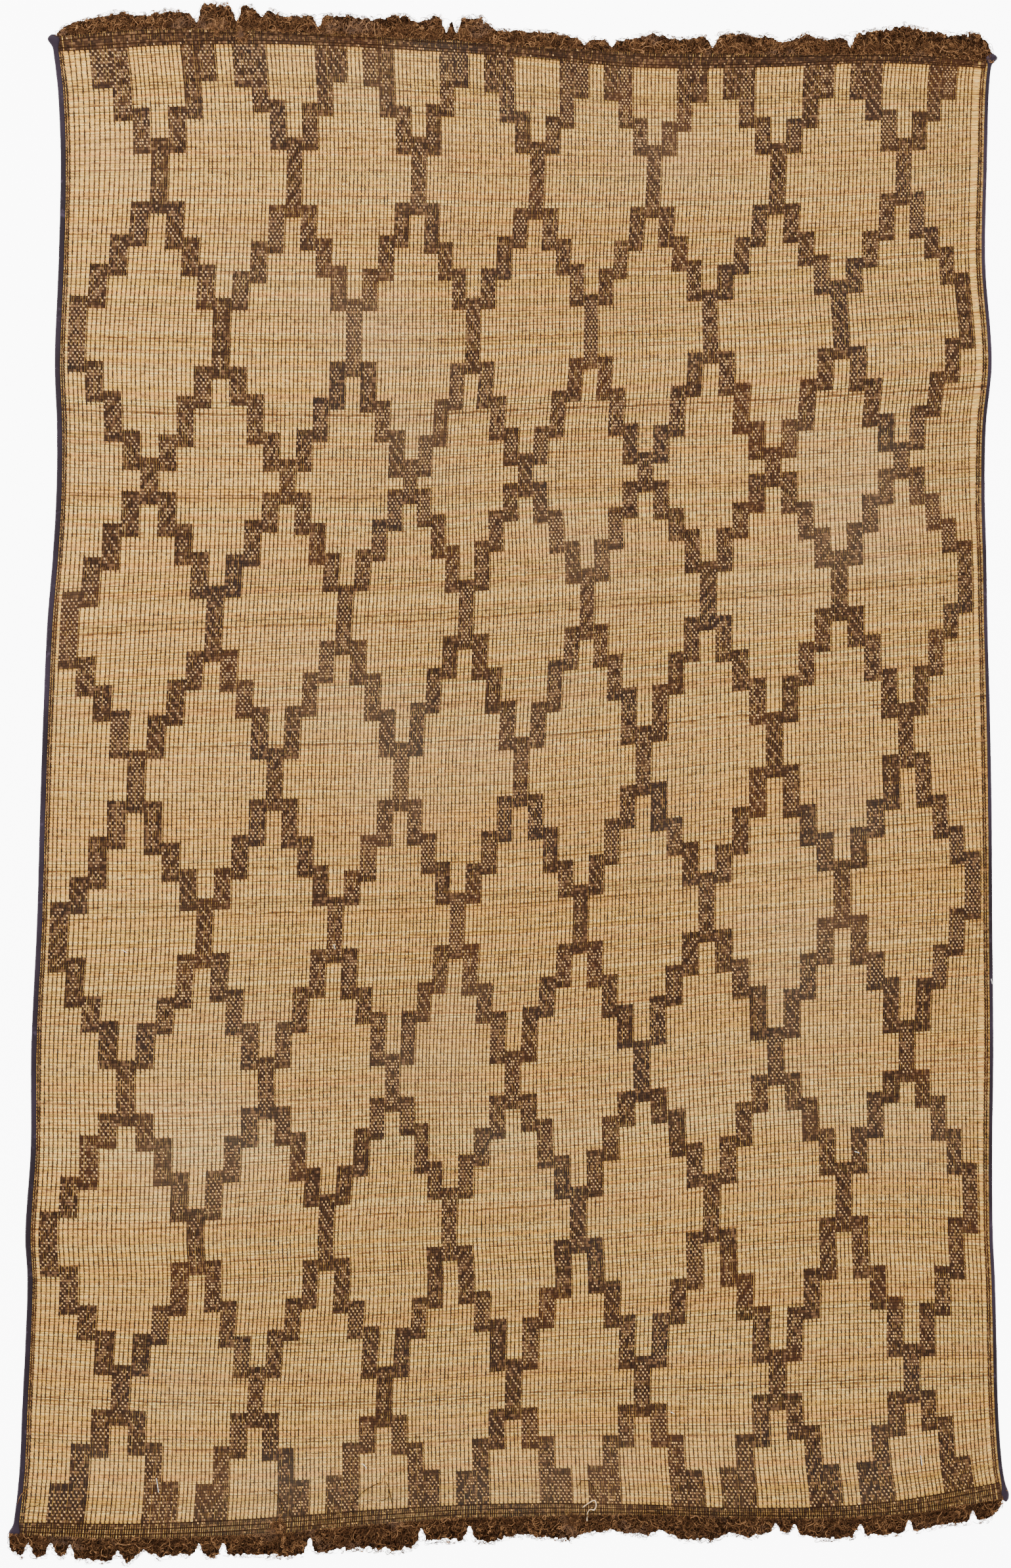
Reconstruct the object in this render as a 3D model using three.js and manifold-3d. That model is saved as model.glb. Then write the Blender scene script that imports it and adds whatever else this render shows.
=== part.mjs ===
// A woven reed mat lying flat on the floor: the reed field with a corded heading at each end,
// a folded binding along each long side and a fringe of curly locks beyond each heading.
// Sizes are in millimetres. X runs along the reeds, Y along the warps, Z up from the floor.

import * as THREE from 'three';
import Module from 'manifold-3d';
import { mergeVertices } from 'three/addons/utils/BufferGeometryUtils.js';

const wasm = await Module();
wasm.setup();

// Thickness of the woven field, and how far the corded headings stand above it
const FIELD_THICKNESS = 4.6;
const HEADING_RISE = 0.6;
const HEADING_LENGTH = 31;
const PIECE_GAP = 0.3;

// The binding is one strip of cloth folded round the reed ends
const BINDING_WIDTH = 9;
const BINDING_CLOTH = 0.9;
const BINDING_HEIGHT = 5;
const BINDING_CROWN = 1;
const KNOT_LENGTH = 34;
const KNOT_BULGE = 6;
const KNOT_RISE = 2.4;
const LEFT_OVERHANGS = { top: 3, bottom: 3 };
const RIGHT_OVERHANGS = { top: 13, bottom: 4 };

// Section of the folded binding, from its lower hem round the reed ends to its upper hem:
// distance in from the mat's edge, height, and how much of a corner's bulge and rise it takes
const BINDING_SHOULDER = BINDING_HEIGHT - BINDING_CROWN;
const BINDING_SECTION = [
  { inset: BINDING_WIDTH, height: 0, bulge: 0, rise: 0 },
  { inset: BINDING_WIDTH, height: BINDING_CLOTH, bulge: 0, rise: 0 },
  { inset: BINDING_CLOTH, height: BINDING_CLOTH, bulge: 0, rise: 0 },
  { inset: BINDING_CLOTH, height: BINDING_SHOULDER - BINDING_CLOTH, bulge: 0, rise: 0 },
  { inset: BINDING_WIDTH, height: BINDING_SHOULDER - BINDING_CLOTH, bulge: 0, rise: 0 },
  { inset: BINDING_WIDTH, height: BINDING_SHOULDER, bulge: 0, rise: 0.4 },
  { inset: BINDING_WIDTH - 1.6, height: BINDING_SHOULDER + 0.7, bulge: 0, rise: 1 },
  { inset: 3, height: BINDING_HEIGHT, bulge: 0, rise: 1 },
  { inset: 0.8, height: BINDING_SHOULDER + 0.5, bulge: 0.8, rise: 0.8 },
  { inset: 0, height: BINDING_SHOULDER - 0.9, bulge: 1, rise: 0.4 },
  { inset: 0, height: 1.4, bulge: 1, rise: 0 },
  { inset: 0.7, height: 0.3, bulge: 1, rise: 0 },
  { inset: 2.2, height: 0, bulge: 0.8, rise: 0 },
];

// Fringe: a narrow strip that the locks grow from, and the locks themselves
const STRIP_WIDTH = 5;
const STRIP_HEIGHT = 3.4;
const MEAN_WIDTH = 1800;
const FIRST_LOCK_INSET = 13;
const LOCKS_PER_END = 130;
const LOCK_PITCH = (MEAN_WIDTH - 2 * FIRST_LOCK_INSET) / LOCKS_PER_END;
const LOCK_TOP_SHARE = 0.7;
const LOCK_SPREAD = 0.2;
const LOCK_REACH_SPREAD = 0.11;

// Sections of one lock from its root to its tip: shares of its reach, pitch and lean, and height
const LOCK_ROOT_DEPTH = 3;
const LOCK_SECTIONS = [
  { reach: 0, width: 0.62, lean: 0, height: STRIP_HEIGHT - 0.4 },
  { reach: 0.55, width: 0.7, lean: 0.4, height: 7 },
  { reach: 1, width: 0.36, lean: 1, height: 2.4 },
];

// Sideways lean of the lock tips: a wave across the mat, a random part, and the corner locks
const LOCK_LEAN = 5;
const LOCK_LEAN_WAVES = 11;
const LOCK_LEAN_SPREAD = 1;
const CORNER_LOCK_FADE = 0.6;

// How finely the field is divided
const FIELD_COLUMNS = 38;
const FIELD_ROWS = 34;
const SHOULDER = 5;
const END_ROWS = [0, 10, 20, HEADING_LENGTH - 1, HEADING_LENGTH + 1];

// Outer edges of the mat down its length: height above the middle, left edge, right edge
const SIDE_EDGES = [
  { along: 1420, left: -856, right: 918 },
  { along: 1370, left: -850, right: 906 },
  { along: 1332, left: -845, right: 899 },
  { along: 1280, left: -840, right: 895 },
  { along: 1157, left: -836, right: 892 },
  { along: 973, left: -840, right: 889 },
  { along: 790, left: -847, right: 901 },
  { along: 667, left: -843, right: 890 },
  { along: 545, left: -844, right: 888 },
  { along: 422, left: -851, right: 891 },
  { along: 300, left: -861, right: 893 },
  { along: 116, left: -869, right: 898 },
  { along: -67, left: -875, right: 901 },
  { along: -251, left: -880, right: 902 },
  { along: -496, left: -891, right: 904 },
  { along: -680, left: -892, right: 902 },
  { along: -839, left: -902, right: 903 },
  { along: -925, left: -898, right: 907 },
  { along: -1047, left: -902, right: 910 },
  { along: -1169, left: -908, right: 913 },
  { along: -1267, left: -912, right: 920 },
  { along: -1324, left: -917, right: 929 },
  { along: -1380, left: -924, right: 934 },
  { along: -1430, left: -930, right: 938 },
];

// Ends of the headings across the mat, and how far the fringe reaches past them
const END_EDGES = [
  { across: 0.0, top: 1396, bottom: -1402, topFringe: 16, bottomFringe: 42 },
  { across: 0.05, top: 1406, bottom: -1407, topFringe: 27, bottomFringe: 27 },
  { across: 0.1, top: 1412, bottom: -1410, topFringe: 26, bottomFringe: 38 },
  { across: 0.15, top: 1413, bottom: -1409, topFringe: 28, bottomFringe: 36 },
  { across: 0.18, top: 1412, bottom: -1408, topFringe: 44, bottomFringe: 33 },
  { across: 0.22, top: 1410, bottom: -1405, topFringe: 36, bottomFringe: 33 },
  { across: 0.25, top: 1407, bottom: -1402, topFringe: 27, bottomFringe: 38 },
  { across: 0.3, top: 1403, bottom: -1395, topFringe: 33, bottomFringe: 29 },
  { across: 0.35, top: 1398, bottom: -1386, topFringe: 33, bottomFringe: 40 },
  { across: 0.4, top: 1393, bottom: -1378, topFringe: 40, bottomFringe: 50 },
  { across: 0.45, top: 1388, bottom: -1372, topFringe: 44, bottomFringe: 32 },
  { across: 0.5, top: 1382, bottom: -1370, topFringe: 24, bottomFringe: 34 },
  { across: 0.55, top: 1376, bottom: -1368, topFringe: 18, bottomFringe: 42 },
  { across: 0.6, top: 1370, bottom: -1366, topFringe: 17, bottomFringe: 28 },
  { across: 0.65, top: 1368, bottom: -1367, topFringe: 34, bottomFringe: 30 },
  { across: 0.7, top: 1366, bottom: -1369, topFringe: 29, bottomFringe: 43 },
  { across: 0.75, top: 1366, bottom: -1371, topFringe: 30, bottomFringe: 31 },
  { across: 0.8, top: 1365, bottom: -1373, topFringe: 36, bottomFringe: 35 },
  { across: 0.85, top: 1366, bottom: -1370, topFringe: 34, bottomFringe: 34 },
  { across: 0.9, top: 1366, bottom: -1364, topFringe: 52, bottomFringe: 32 },
  { across: 0.95, top: 1361, bottom: -1350, topFringe: 41, bottomFringe: 28 },
  { across: 1.0, top: 1350, bottom: -1334, topFringe: 45, bottomFringe: 33 },
];

// Places across the mat where a lock is worn short
const TOP_WORN = [0.155, 0.2, 0.228, 0.285, 0.427, 0.568, 0.597, 0.703, 0.85];
const BOTTOM_WORN = [0.058, 0.133, 0.213, 0.3, 0.412, 0.46, 0.578, 0.648, 0.725, 0.768, 0.9, 0.966];
const WORN_REACH = 0.005;
const WORN_SHARE = 0.35;

// Low swells left in the cloth: waves across and along the mat, height, and start
const SWELLS = [
  { across: 2.3, along: 3.1, height: 0.25, start: 0.4 },
  { across: 4.7, along: -2.2, height: 0.2, start: 2.1 },
  { across: -1.6, along: 6.4, height: 0.15, start: 4.0 },
];

const smoothStep = (value) => {
  const share = Math.min(1, Math.max(0, value));
  return share * share * (3 - 2 * share);
};

// A smooth line through one column of a table whose rows are sorted by the key column
function readTable(rows, key, column, at) {
  const rising = rows[rows.length - 1][key] > rows[0][key] ? 1 : -1;
  let row = 0;
  while (row < rows.length - 2 && (at - rows[row + 1][key]) * rising > 0) {
    row += 1;
  }
  const low = rows[row];
  const high = rows[row + 1];
  const before = rows[Math.max(0, row - 1)];
  const after = rows[Math.min(rows.length - 1, row + 2)];
  const span = high[key] - low[key];
  const share = (at - low[key]) / span;
  const lowSlope = ((high[column] - before[column]) / (high[key] - before[key])) * span;
  const highSlope = ((after[column] - low[column]) / (after[key] - low[key])) * span;
  const square = share * share;
  const cube = square * share;
  return (2 * cube - 3 * square + 1) * low[column]
    + (cube - 2 * square + share) * lowSlope
    + (3 * square - 2 * cube) * high[column]
    + (cube - square) * highSlope;
}

const leftEdge = (along) => readTable(SIDE_EDGES, 'along', 'left', along);
const rightEdge = (along) => readTable(SIDE_EDGES, 'along', 'right', along);
const endEdge = (column, across) => readTable(END_EDGES, 'across', column, across);

// Seeded random numbers from 0 to 1, the same on every run
function seededRandom(seed) {
  let state = seed;
  return () => {
    state = (state + 0x6d2b79f5) | 0;
    let mixed = Math.imul(state ^ (state >>> 15), state | 1);
    mixed ^= mixed + Math.imul(mixed ^ (mixed >>> 7), mixed | 61);
    return ((mixed ^ (mixed >>> 14)) >>> 0) / 4294967296;
  };
}

// Rows of the field from its top end to its bottom end, as the height of any point across
function fieldRows() {
  const inset = END_ROWS[END_ROWS.length - 1];
  const rows = END_ROWS.map((depth) => (across) => endEdge('top', across) - depth);
  for (let step = 1; step < FIELD_ROWS; step += 1) {
    const share = step / FIELD_ROWS;
    rows.push((across) => THREE.MathUtils.lerp(
      endEdge('top', across) - inset,
      endEdge('bottom', across) + inset,
      share,
    ));
  }
  const bottomRows = END_ROWS.map((depth) => (across) => endEdge('bottom', across) + depth);
  return rows.concat(bottomRows.reverse());
}

const ROWS = fieldRows();

// Shares across the mat at which the field and the fringe strips have a section
const COLUMN_SHARES = Array.from(
  { length: FIELD_COLUMNS + 1 },
  (_, column) => column / FIELD_COLUMNS,
);

// A closed geometry from a list of triangles, each three corner points, turned to face out
function solidFrom(triangles) {
  const positions = new Float32Array(triangles.flat(2));
  const loose = new THREE.BufferGeometry();
  loose.setAttribute('position', new THREE.BufferAttribute(positions, 3));
  const closed = mergeVertices(loose, 1e-4);
  const points = closed.getAttribute('position');
  const index = closed.getIndex().array;
  const corners = [new THREE.Vector3(), new THREE.Vector3(), new THREE.Vector3()];
  let volume = 0;
  for (let start = 0; start < index.length; start += 3) {
    corners.forEach((corner, place) => corner.fromBufferAttribute(points, index[start + place]));
    volume += corners[0].dot(corners[1].cross(corners[2]));
  }
  if (volume < 0) {
    for (let start = 0; start < index.length; start += 3) {
      [index[start + 1], index[start + 2]] = [index[start + 2], index[start + 1]];
    }
  }
  return closed;
}

// Two triangles over four corners that run round a face
const quad = (first, second, third, fourth) => [[first, second, third], [first, third, fourth]];

// A solid through a row of rings, each with the same number of points, closed at both ends
function loft(rings) {
  const triangles = [];
  const count = rings[0].length;
  for (let ring = 0; ring < rings.length - 1; ring += 1) {
    for (let point = 0; point < count; point += 1) {
      const next = (point + 1) % count;
      triangles.push(...quad(
        rings[ring][point],
        rings[ring][next],
        rings[ring + 1][next],
        rings[ring + 1][point],
      ));
    }
  }
  return triangles;
}

// Both end faces of a loft, flattened on the two axes given, wound to match its sides
function endCaps(rings, firstAxis, secondAxis) {
  const outline = rings[0].map((point) => new THREE.Vector2(point[firstAxis], point[secondAxis]));
  const outlineTurn = Math.sign(THREE.ShapeUtils.area(outline));
  const first = rings[0];
  const last = rings[rings.length - 1];
  return THREE.ShapeUtils.triangulateShape(outline, []).flatMap((face) => {
    const turn = Math.sign(THREE.ShapeUtils.area(face.map((corner) => outline[corner])));
    const order = turn === outlineTurn ? face : [...face].reverse();
    return [
      [first[order[2]], first[order[1]], first[order[0]]],
      [last[order[0]], last[order[1]], last[order[2]]],
    ];
  });
}

// The woven field. Its reed ends are pressed thinner where the bindings fold round them.
function fieldGeometry() {
  const marginLow = BINDING_CLOTH + PIECE_GAP;
  const marginHigh = BINDING_SHOULDER - BINDING_CLOTH - PIECE_GAP;
  const reedEnd = BINDING_CLOTH + PIECE_GAP;
  const bodyEdge = BINDING_WIDTH + PIECE_GAP;
  const insets = [reedEnd, bodyEdge, bodyEdge + SHOULDER];
  const inner = COLUMN_SHARES.slice(1, -1);
  const last = ROWS.length - 1;

  const columnCount = inner.length + 2 * insets.length;
  const place = (row, column) => {
    let across = 0;
    let fromEdge = 0;
    if (column < insets.length) {
      fromEdge = insets[column];
    } else if (column >= columnCount - insets.length) {
      across = 1;
      fromEdge = -insets[columnCount - 1 - column];
    } else {
      across = inner[column - insets.length];
    }
    const along = ROWS[row](across);
    const spread = THREE.MathUtils.lerp(leftEdge(along), rightEdge(along), across);
    return { across, along, side: spread + fromEdge };
  };
  const topHeight = (row, column, across) => {
    if (column < 2 || column > columnCount - 3) {
      return marginHigh;
    }
    const inHeading = row < END_ROWS.length - 1 || row > last - END_ROWS.length + 1;
    const swell = SWELLS.reduce((sum, wave) => sum + wave.height * Math.sin(
      2 * Math.PI * (wave.across * across + (wave.along * row) / last) + wave.start,
    ), 0);
    return FIELD_THICKNESS + swell + (inHeading ? HEADING_RISE : 0);
  };
  const top = ROWS.map((_, row) => Array.from({ length: columnCount }, (__, column) => {
    const { across, along, side } = place(row, column);
    return [side, along, topHeight(row, column, across)];
  }));
  const under = (row, column, height) => [top[row][column][0], top[row][column][1], height];
  const bodyColumns = [];
  for (let column = 1; column <= columnCount - 2; column += 1) {
    bodyColumns.push(column);
  }

  const triangles = [];
  for (let row = 0; row < last; row += 1) {
    for (let column = 0; column < columnCount - 1; column += 1) {
      triangles.push(...quad(
        top[row][column],
        top[row + 1][column],
        top[row + 1][column + 1],
        top[row][column + 1],
      ));
    }
    [[0, 1, 1], [columnCount - 1, columnCount - 2, -1]].forEach(([outer, step, turn]) => {
      const faces = [
        ...quad(
          top[row][outer],
          under(row, outer, marginLow),
          under(row + 1, outer, marginLow),
          top[row + 1][outer],
        ),
        ...quad(
          under(row, outer, marginLow),
          under(row, step, marginLow),
          under(row + 1, step, marginLow),
          under(row + 1, outer, marginLow),
        ),
        ...quad(
          under(row, step, marginLow),
          under(row, step, 0),
          under(row + 1, step, 0),
          under(row + 1, step, marginLow),
        ),
      ];
      triangles.push(...(turn > 0 ? faces : faces.map((face) => [...face].reverse())));
    });
  }

  [[0, 1], [last, -1]].forEach(([row, turn]) => {
    const faces = [];
    for (let column = 0; column < columnCount - 1; column += 1) {
      const inMargin = column === 0 || column === columnCount - 2;
      const height = inMargin ? marginLow : 0;
      const left = [top[row][column], under(row, column, height)];
      const right = [top[row][column + 1], under(row, column + 1, height)];
      if (!inMargin && column === 1) {
        faces.push([top[row][1], under(row, 1, marginLow), right[0]]);
        faces.push([under(row, 1, marginLow), left[1], right[0]]);
        faces.push([left[1], right[1], right[0]]);
      } else if (!inMargin && column === columnCount - 3) {
        faces.push([left[0], left[1], right[1]]);
        faces.push([left[0], right[1], under(row, column + 1, marginLow)]);
        faces.push([left[0], under(row, column + 1, marginLow), right[0]]);
      } else {
        faces.push(...quad(left[0], left[1], right[1], right[0]));
      }
    }
    const turned = turn > 0 ? faces.map((face) => [...face].reverse()) : faces;
    triangles.push(...turned);
  });

  const outline = [
    ...bodyColumns.map((column) => under(0, column, 0)),
    ...ROWS.slice(1, -1).map((_, row) => under(row + 1, columnCount - 2, 0)),
    ...[...bodyColumns].reverse().map((column) => under(last, column, 0)),
    ...ROWS.slice(1, -1).map((_, row) => under(last - row - 1, 1, 0)),
  ];
  const flat = outline.map((point) => new THREE.Vector2(point[0], point[1]));
  const underside = THREE.ShapeUtils.triangulateShape(flat, []);
  underside.forEach((face) => {
    const corners = face.map((corner) => outline[corner]);
    const [first, second, third] = corners;
    const turn = (second[0] - first[0]) * (third[1] - first[1])
      - (second[1] - first[1]) * (third[0] - first[0]);
    triangles.push(turn > 0 ? corners.reverse() : corners);
  });
  return solidFrom(triangles);
}

// One binding, thickened at both corners where the spare cloth is folded in
function bindingGeometry(across, edge, inward, overhangs) {
  const topEnd = ROWS[0](across) + overhangs.top;
  const bottomEnd = ROWS[ROWS.length - 1](across) - overhangs.bottom;
  const stations = [topEnd, ...ROWS.map((row) => row(across)), bottomEnd];
  const rings = stations.map((along) => {
    const fromEnd = Math.min(topEnd - along, along - bottomEnd);
    const knot = smoothStep(1 - fromEnd / KNOT_LENGTH);
    return BINDING_SECTION.map((point) => [
      edge(along) + inward * (point.inset - point.bulge * KNOT_BULGE * knot),
      along,
      point.height + point.rise * KNOT_RISE * knot,
    ]);
  });
  return solidFrom([...loft(rings), ...endCaps(rings, 0, 2)]);
}

// A geometry as a manifold solid, and back
function toManifold(geometry) {
  const merged = geometry.index ? geometry : mergeVertices(geometry, 1e-4);
  return new wasm.Manifold(new wasm.Mesh({
    numProp: 3,
    vertProperties: new Float32Array(merged.getAttribute('position').array),
    triVerts: new Uint32Array(merged.getIndex().array),
  }));
}

function fromManifold(solid) {
  const mesh = solid.getMesh();
  const geometry = new THREE.BufferGeometry();
  geometry.setAttribute('position', new THREE.BufferAttribute(mesh.vertProperties, 3));
  geometry.setIndex(new THREE.BufferAttribute(mesh.triVerts, 1));
  return geometry;
}

// A closed run of four-sided rings along the strip or along one lock
function barGeometry(rings) {
  const caps = [
    ...quad(rings[0][3], rings[0][2], rings[0][1], rings[0][0]),
    ...quad(...rings[rings.length - 1]),
  ];
  return solidFrom([...loft(rings), ...caps]);
}

// Point beyond a heading: a share across the mat and a distance past the end of the cloth
function beyondEnd(end, across, past) {
  const edge = endEdge(end.column, across);
  const side = THREE.MathUtils.lerp(leftEdge(edge), rightEdge(edge), across);
  return [side, edge + end.outward * past];
}

function stripGeometry(end) {
  const clearance = BINDING_WIDTH + 2 * PIECE_GAP;
  const rings = COLUMN_SHARES.map((share, column) => {
    let sideways = 0;
    if (column === 0) {
      sideways = clearance;
    } else if (column === COLUMN_SHARES.length - 1) {
      sideways = -clearance;
    }
    const [nearX, nearY] = beyondEnd(end, share, PIECE_GAP);
    const farY = nearY + end.outward * STRIP_WIDTH;
    return [
      [nearX + sideways, nearY, 0],
      [nearX + sideways, farY, 0],
      [nearX + sideways, farY, STRIP_HEIGHT],
      [nearX + sideways, nearY, STRIP_HEIGHT],
    ];
  });
  return barGeometry(rings);
}

function lockGeometry(end, lock, random) {
  const spread = (share) => 1 + share * (2 * random() - 1);
  const share = (FIRST_LOCK_INSET + (lock + 0.5) * LOCK_PITCH) / MEAN_WIDTH;
  const worn = end.worn.some((place) => Math.abs(place - share) < WORN_REACH);
  const fullReach = endEdge(end.reachColumn, share) * spread(LOCK_REACH_SPREAD);
  const reach = fullReach * (worn ? WORN_SHARE : 1);
  const lean = LOCK_LEAN * Math.sin(2 * Math.PI * LOCK_LEAN_WAVES * share + end.leanStart)
    + LOCK_LEAN_SPREAD * (2 * random() - 1)
    + end.cornerLean * Math.max(0, 1 - CORNER_LOCK_FADE * lock);
  const rings = LOCK_SECTIONS.map((section) => {
    const past = Math.max(section.reach * reach, LOCK_ROOT_DEPTH);
    const [side, along] = beyondEnd(end, share, past);
    const middle = side + section.lean * lean;
    const half = (section.width * LOCK_PITCH) / 2;
    const height = section.height * spread(section.reach > 0 ? LOCK_SPREAD : 0);
    return [
      [middle - half, along, 0],
      [middle + half, along, 0],
      [middle + LOCK_TOP_SHARE * half, along, height],
      [middle - LOCK_TOP_SHARE * half, along, height],
    ];
  });
  return barGeometry(rings);
}

function fringeGeometry(end) {
  const random = seededRandom(end.seed);
  let fringe = toManifold(stripGeometry(end));
  for (let lock = 0; lock < LOCKS_PER_END; lock += 1) {
    fringe = fringe.add(toManifold(lockGeometry(end, lock, random)));
  }
  return fromManifold(fringe);
}

const TOP_END = {
  column: 'top',
  reachColumn: 'topFringe',
  outward: 1,
  worn: TOP_WORN,
  leanStart: 0.6,
  cornerLean: 0,
  seed: 11,
};
const BOTTOM_END = {
  column: 'bottom',
  reachColumn: 'bottomFringe',
  outward: -1,
  worn: BOTTOM_WORN,
  leanStart: 2.9,
  cornerLean: -30,
  seed: 23,
};

const reedWeave = new THREE.MeshStandardMaterial({ color: 0xcfa978, roughness: 0.8, metalness: 0 });
const boundEdge = new THREE.MeshStandardMaterial({ color: 0x3f303d, roughness: 0.6, metalness: 0 });
const curlyLock = new THREE.MeshStandardMaterial({ color: 0x4a3222, roughness: 0.9, metalness: 0 });

const pieces = [
  { name: 'reed_field', geometry: fieldGeometry(), material: reedWeave },
  {
    name: 'left_binding',
    geometry: bindingGeometry(0, leftEdge, 1, LEFT_OVERHANGS),
    material: boundEdge,
  },
  {
    name: 'right_binding',
    geometry: bindingGeometry(1, rightEdge, -1, RIGHT_OVERHANGS),
    material: boundEdge,
  },
  { name: 'top_fringe', geometry: fringeGeometry(TOP_END), material: curlyLock },
  { name: 'bottom_fringe', geometry: fringeGeometry(BOTTOM_END), material: curlyLock },
];

const mat = new THREE.Group();
pieces.forEach(({ name, geometry, material }) => {
  const mesh = new THREE.Mesh(geometry, material);
  mesh.name = name;
  mat.add(mesh);
});

// The origin is under the middle of the whole mat, fringes and knots included
const reach = new THREE.Box3().setFromObject(mat);
const middle = reach.getCenter(new THREE.Vector3());
mat.position.set(-middle.x, -middle.y, -reach.min.z);

export default mat;
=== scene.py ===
import math

import bpy
import numpy as np
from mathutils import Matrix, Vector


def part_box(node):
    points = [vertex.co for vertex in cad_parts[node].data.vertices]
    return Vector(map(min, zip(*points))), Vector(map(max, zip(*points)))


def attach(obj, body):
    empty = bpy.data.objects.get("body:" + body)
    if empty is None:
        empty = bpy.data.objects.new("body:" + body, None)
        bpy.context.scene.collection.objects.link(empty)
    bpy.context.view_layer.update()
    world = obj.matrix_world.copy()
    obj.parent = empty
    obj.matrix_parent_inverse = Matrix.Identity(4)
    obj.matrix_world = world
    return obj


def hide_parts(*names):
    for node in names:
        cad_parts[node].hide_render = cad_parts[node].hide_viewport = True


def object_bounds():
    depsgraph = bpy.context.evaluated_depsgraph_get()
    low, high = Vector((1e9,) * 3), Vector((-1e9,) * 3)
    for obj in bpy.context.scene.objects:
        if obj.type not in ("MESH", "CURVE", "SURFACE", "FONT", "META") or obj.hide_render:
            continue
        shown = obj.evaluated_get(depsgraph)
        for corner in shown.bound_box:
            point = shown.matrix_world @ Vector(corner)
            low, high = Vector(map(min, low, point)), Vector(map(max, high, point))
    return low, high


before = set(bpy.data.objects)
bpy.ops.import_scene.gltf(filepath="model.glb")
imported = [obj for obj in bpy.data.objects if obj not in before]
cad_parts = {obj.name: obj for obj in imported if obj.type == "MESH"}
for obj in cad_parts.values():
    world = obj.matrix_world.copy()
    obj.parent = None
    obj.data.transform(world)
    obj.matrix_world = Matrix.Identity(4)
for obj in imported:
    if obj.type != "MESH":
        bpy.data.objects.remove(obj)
cad_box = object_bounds()


# The reeds: about a thousand dry grass stems laid side by side across the mat, in pairs, with
# their ends inside the bindings. Worn smooth and golden, they are the sheet that carries the rest.
MM = 0.001
REED_PAIRS = 500
HEADING_PAIRS = 6
FIRST_PAIR = -HEADING_PAIRS
LAST_PAIR = REED_PAIRS + HEADING_PAIRS
ENDS_OF_MAT = np.array([FIRST_PAIR, LAST_PAIR], dtype=float)
LINES_PER_PAIR = 4
SHEET_COLUMNS = 30
SHEET_INSETS = [3.0, 9.5, 15.0]
CREST_HEIGHT = 4.2
TUCKED_HEIGHT = 2.8
TUCKED_DEPTH_SHARE = 0.3
PAIR_SEAM_DEPTH = 1.1
MIDDLE_SEAM_DEPTH = 0.8
REED_WANDER = 0.5
WALL_FOOT = 0.5
WEAVE_START = -950
WEAVE_LENGTH = 100

# Outer edges of the mat in millimetres: height above the middle, left edge, right edge
SIDE_EDGES = np.array([
    (-1430, -930, 938), (-1380, -924, 934), (-1324, -917, 929), (-1267, -912, 920),
    (-1169, -908, 913), (-1047, -902, 910), (-925, -898, 907), (-839, -902, 903),
    (-680, -892, 902), (-496, -891, 904), (-251, -880, 902), (-67, -875, 901),
    (116, -869, 898), (300, -861, 893), (422, -851, 891), (545, -844, 888),
    (667, -843, 890), (790, -847, 901), (973, -840, 889), (1157, -836, 892),
    (1280, -840, 895), (1332, -845, 899), (1370, -850, 906), (1420, -856, 918),
], dtype=float)

# Ends of the headings: share across the mat, top end, bottom end
END_EDGES = np.array([
    (0.0, 1396, -1402), (0.05, 1406, -1407), (0.1, 1412, -1410), (0.15, 1413, -1409),
    (0.18, 1412, -1408), (0.22, 1410, -1405), (0.25, 1407, -1402), (0.3, 1403, -1395),
    (0.35, 1398, -1386), (0.4, 1393, -1378), (0.45, 1388, -1372), (0.5, 1382, -1370),
    (0.55, 1376, -1368), (0.6, 1370, -1366), (0.65, 1368, -1367), (0.7, 1366, -1369),
    (0.75, 1366, -1371), (0.8, 1365, -1373), (0.85, 1366, -1370), (0.9, 1366, -1364),
    (0.95, 1361, -1350), (1.0, 1350, -1334),
], dtype=float)

# Heights of chosen reeds at nine even shares across: the first and last reed of the field, and
# the reeds through the middle of the nine rows of bars, with the number of the reed pair
LINE_SHARES = np.linspace(0, 1, 9)
REED_LINES = [
    (0, [1366, 1379, 1380, 1370, 1356, 1337, 1337, 1345, 1336]),
    (42, [1133, 1138, 1137, 1135, 1128, 1127, 1130, 1139, 1152]),
    (96, [841, 836, 833, 833, 840, 849, 859, 872, 885]),
    (145, [569, 562, 561, 561, 573, 581, 589, 602, 615]),
    (191, [280, 293, 302, 309, 323, 341, 354, 370, 389]),
    (247, [10, 6, 10, 14, 22, 42, 68, 84, 102]),
    (299, [-288, -282, -273, -266, -256, -238, -217, -198, -183]),
    (353, [-567, -569, -563, -551, -547, -529, -505, -493, -481]),
    (403, [-858, -857, -844, -829, -818, -802, -779, -764, -770]),
    (460, [-1131, -1141, -1145, -1140, -1126, -1117, -1109, -1098, -1092]),
    (500, [-1376, -1379, -1369, -1352, -1341, -1343, -1350, -1339, -1300]),
]

# Low swells left in the cloth: waves across and along the mat, height, and start
SWELLS = [(2.3, 3.1, 0.25, 0.4), (4.7, -2.2, 0.2, 2.1), (-1.6, 6.4, 0.15, 4.0)]


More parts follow.
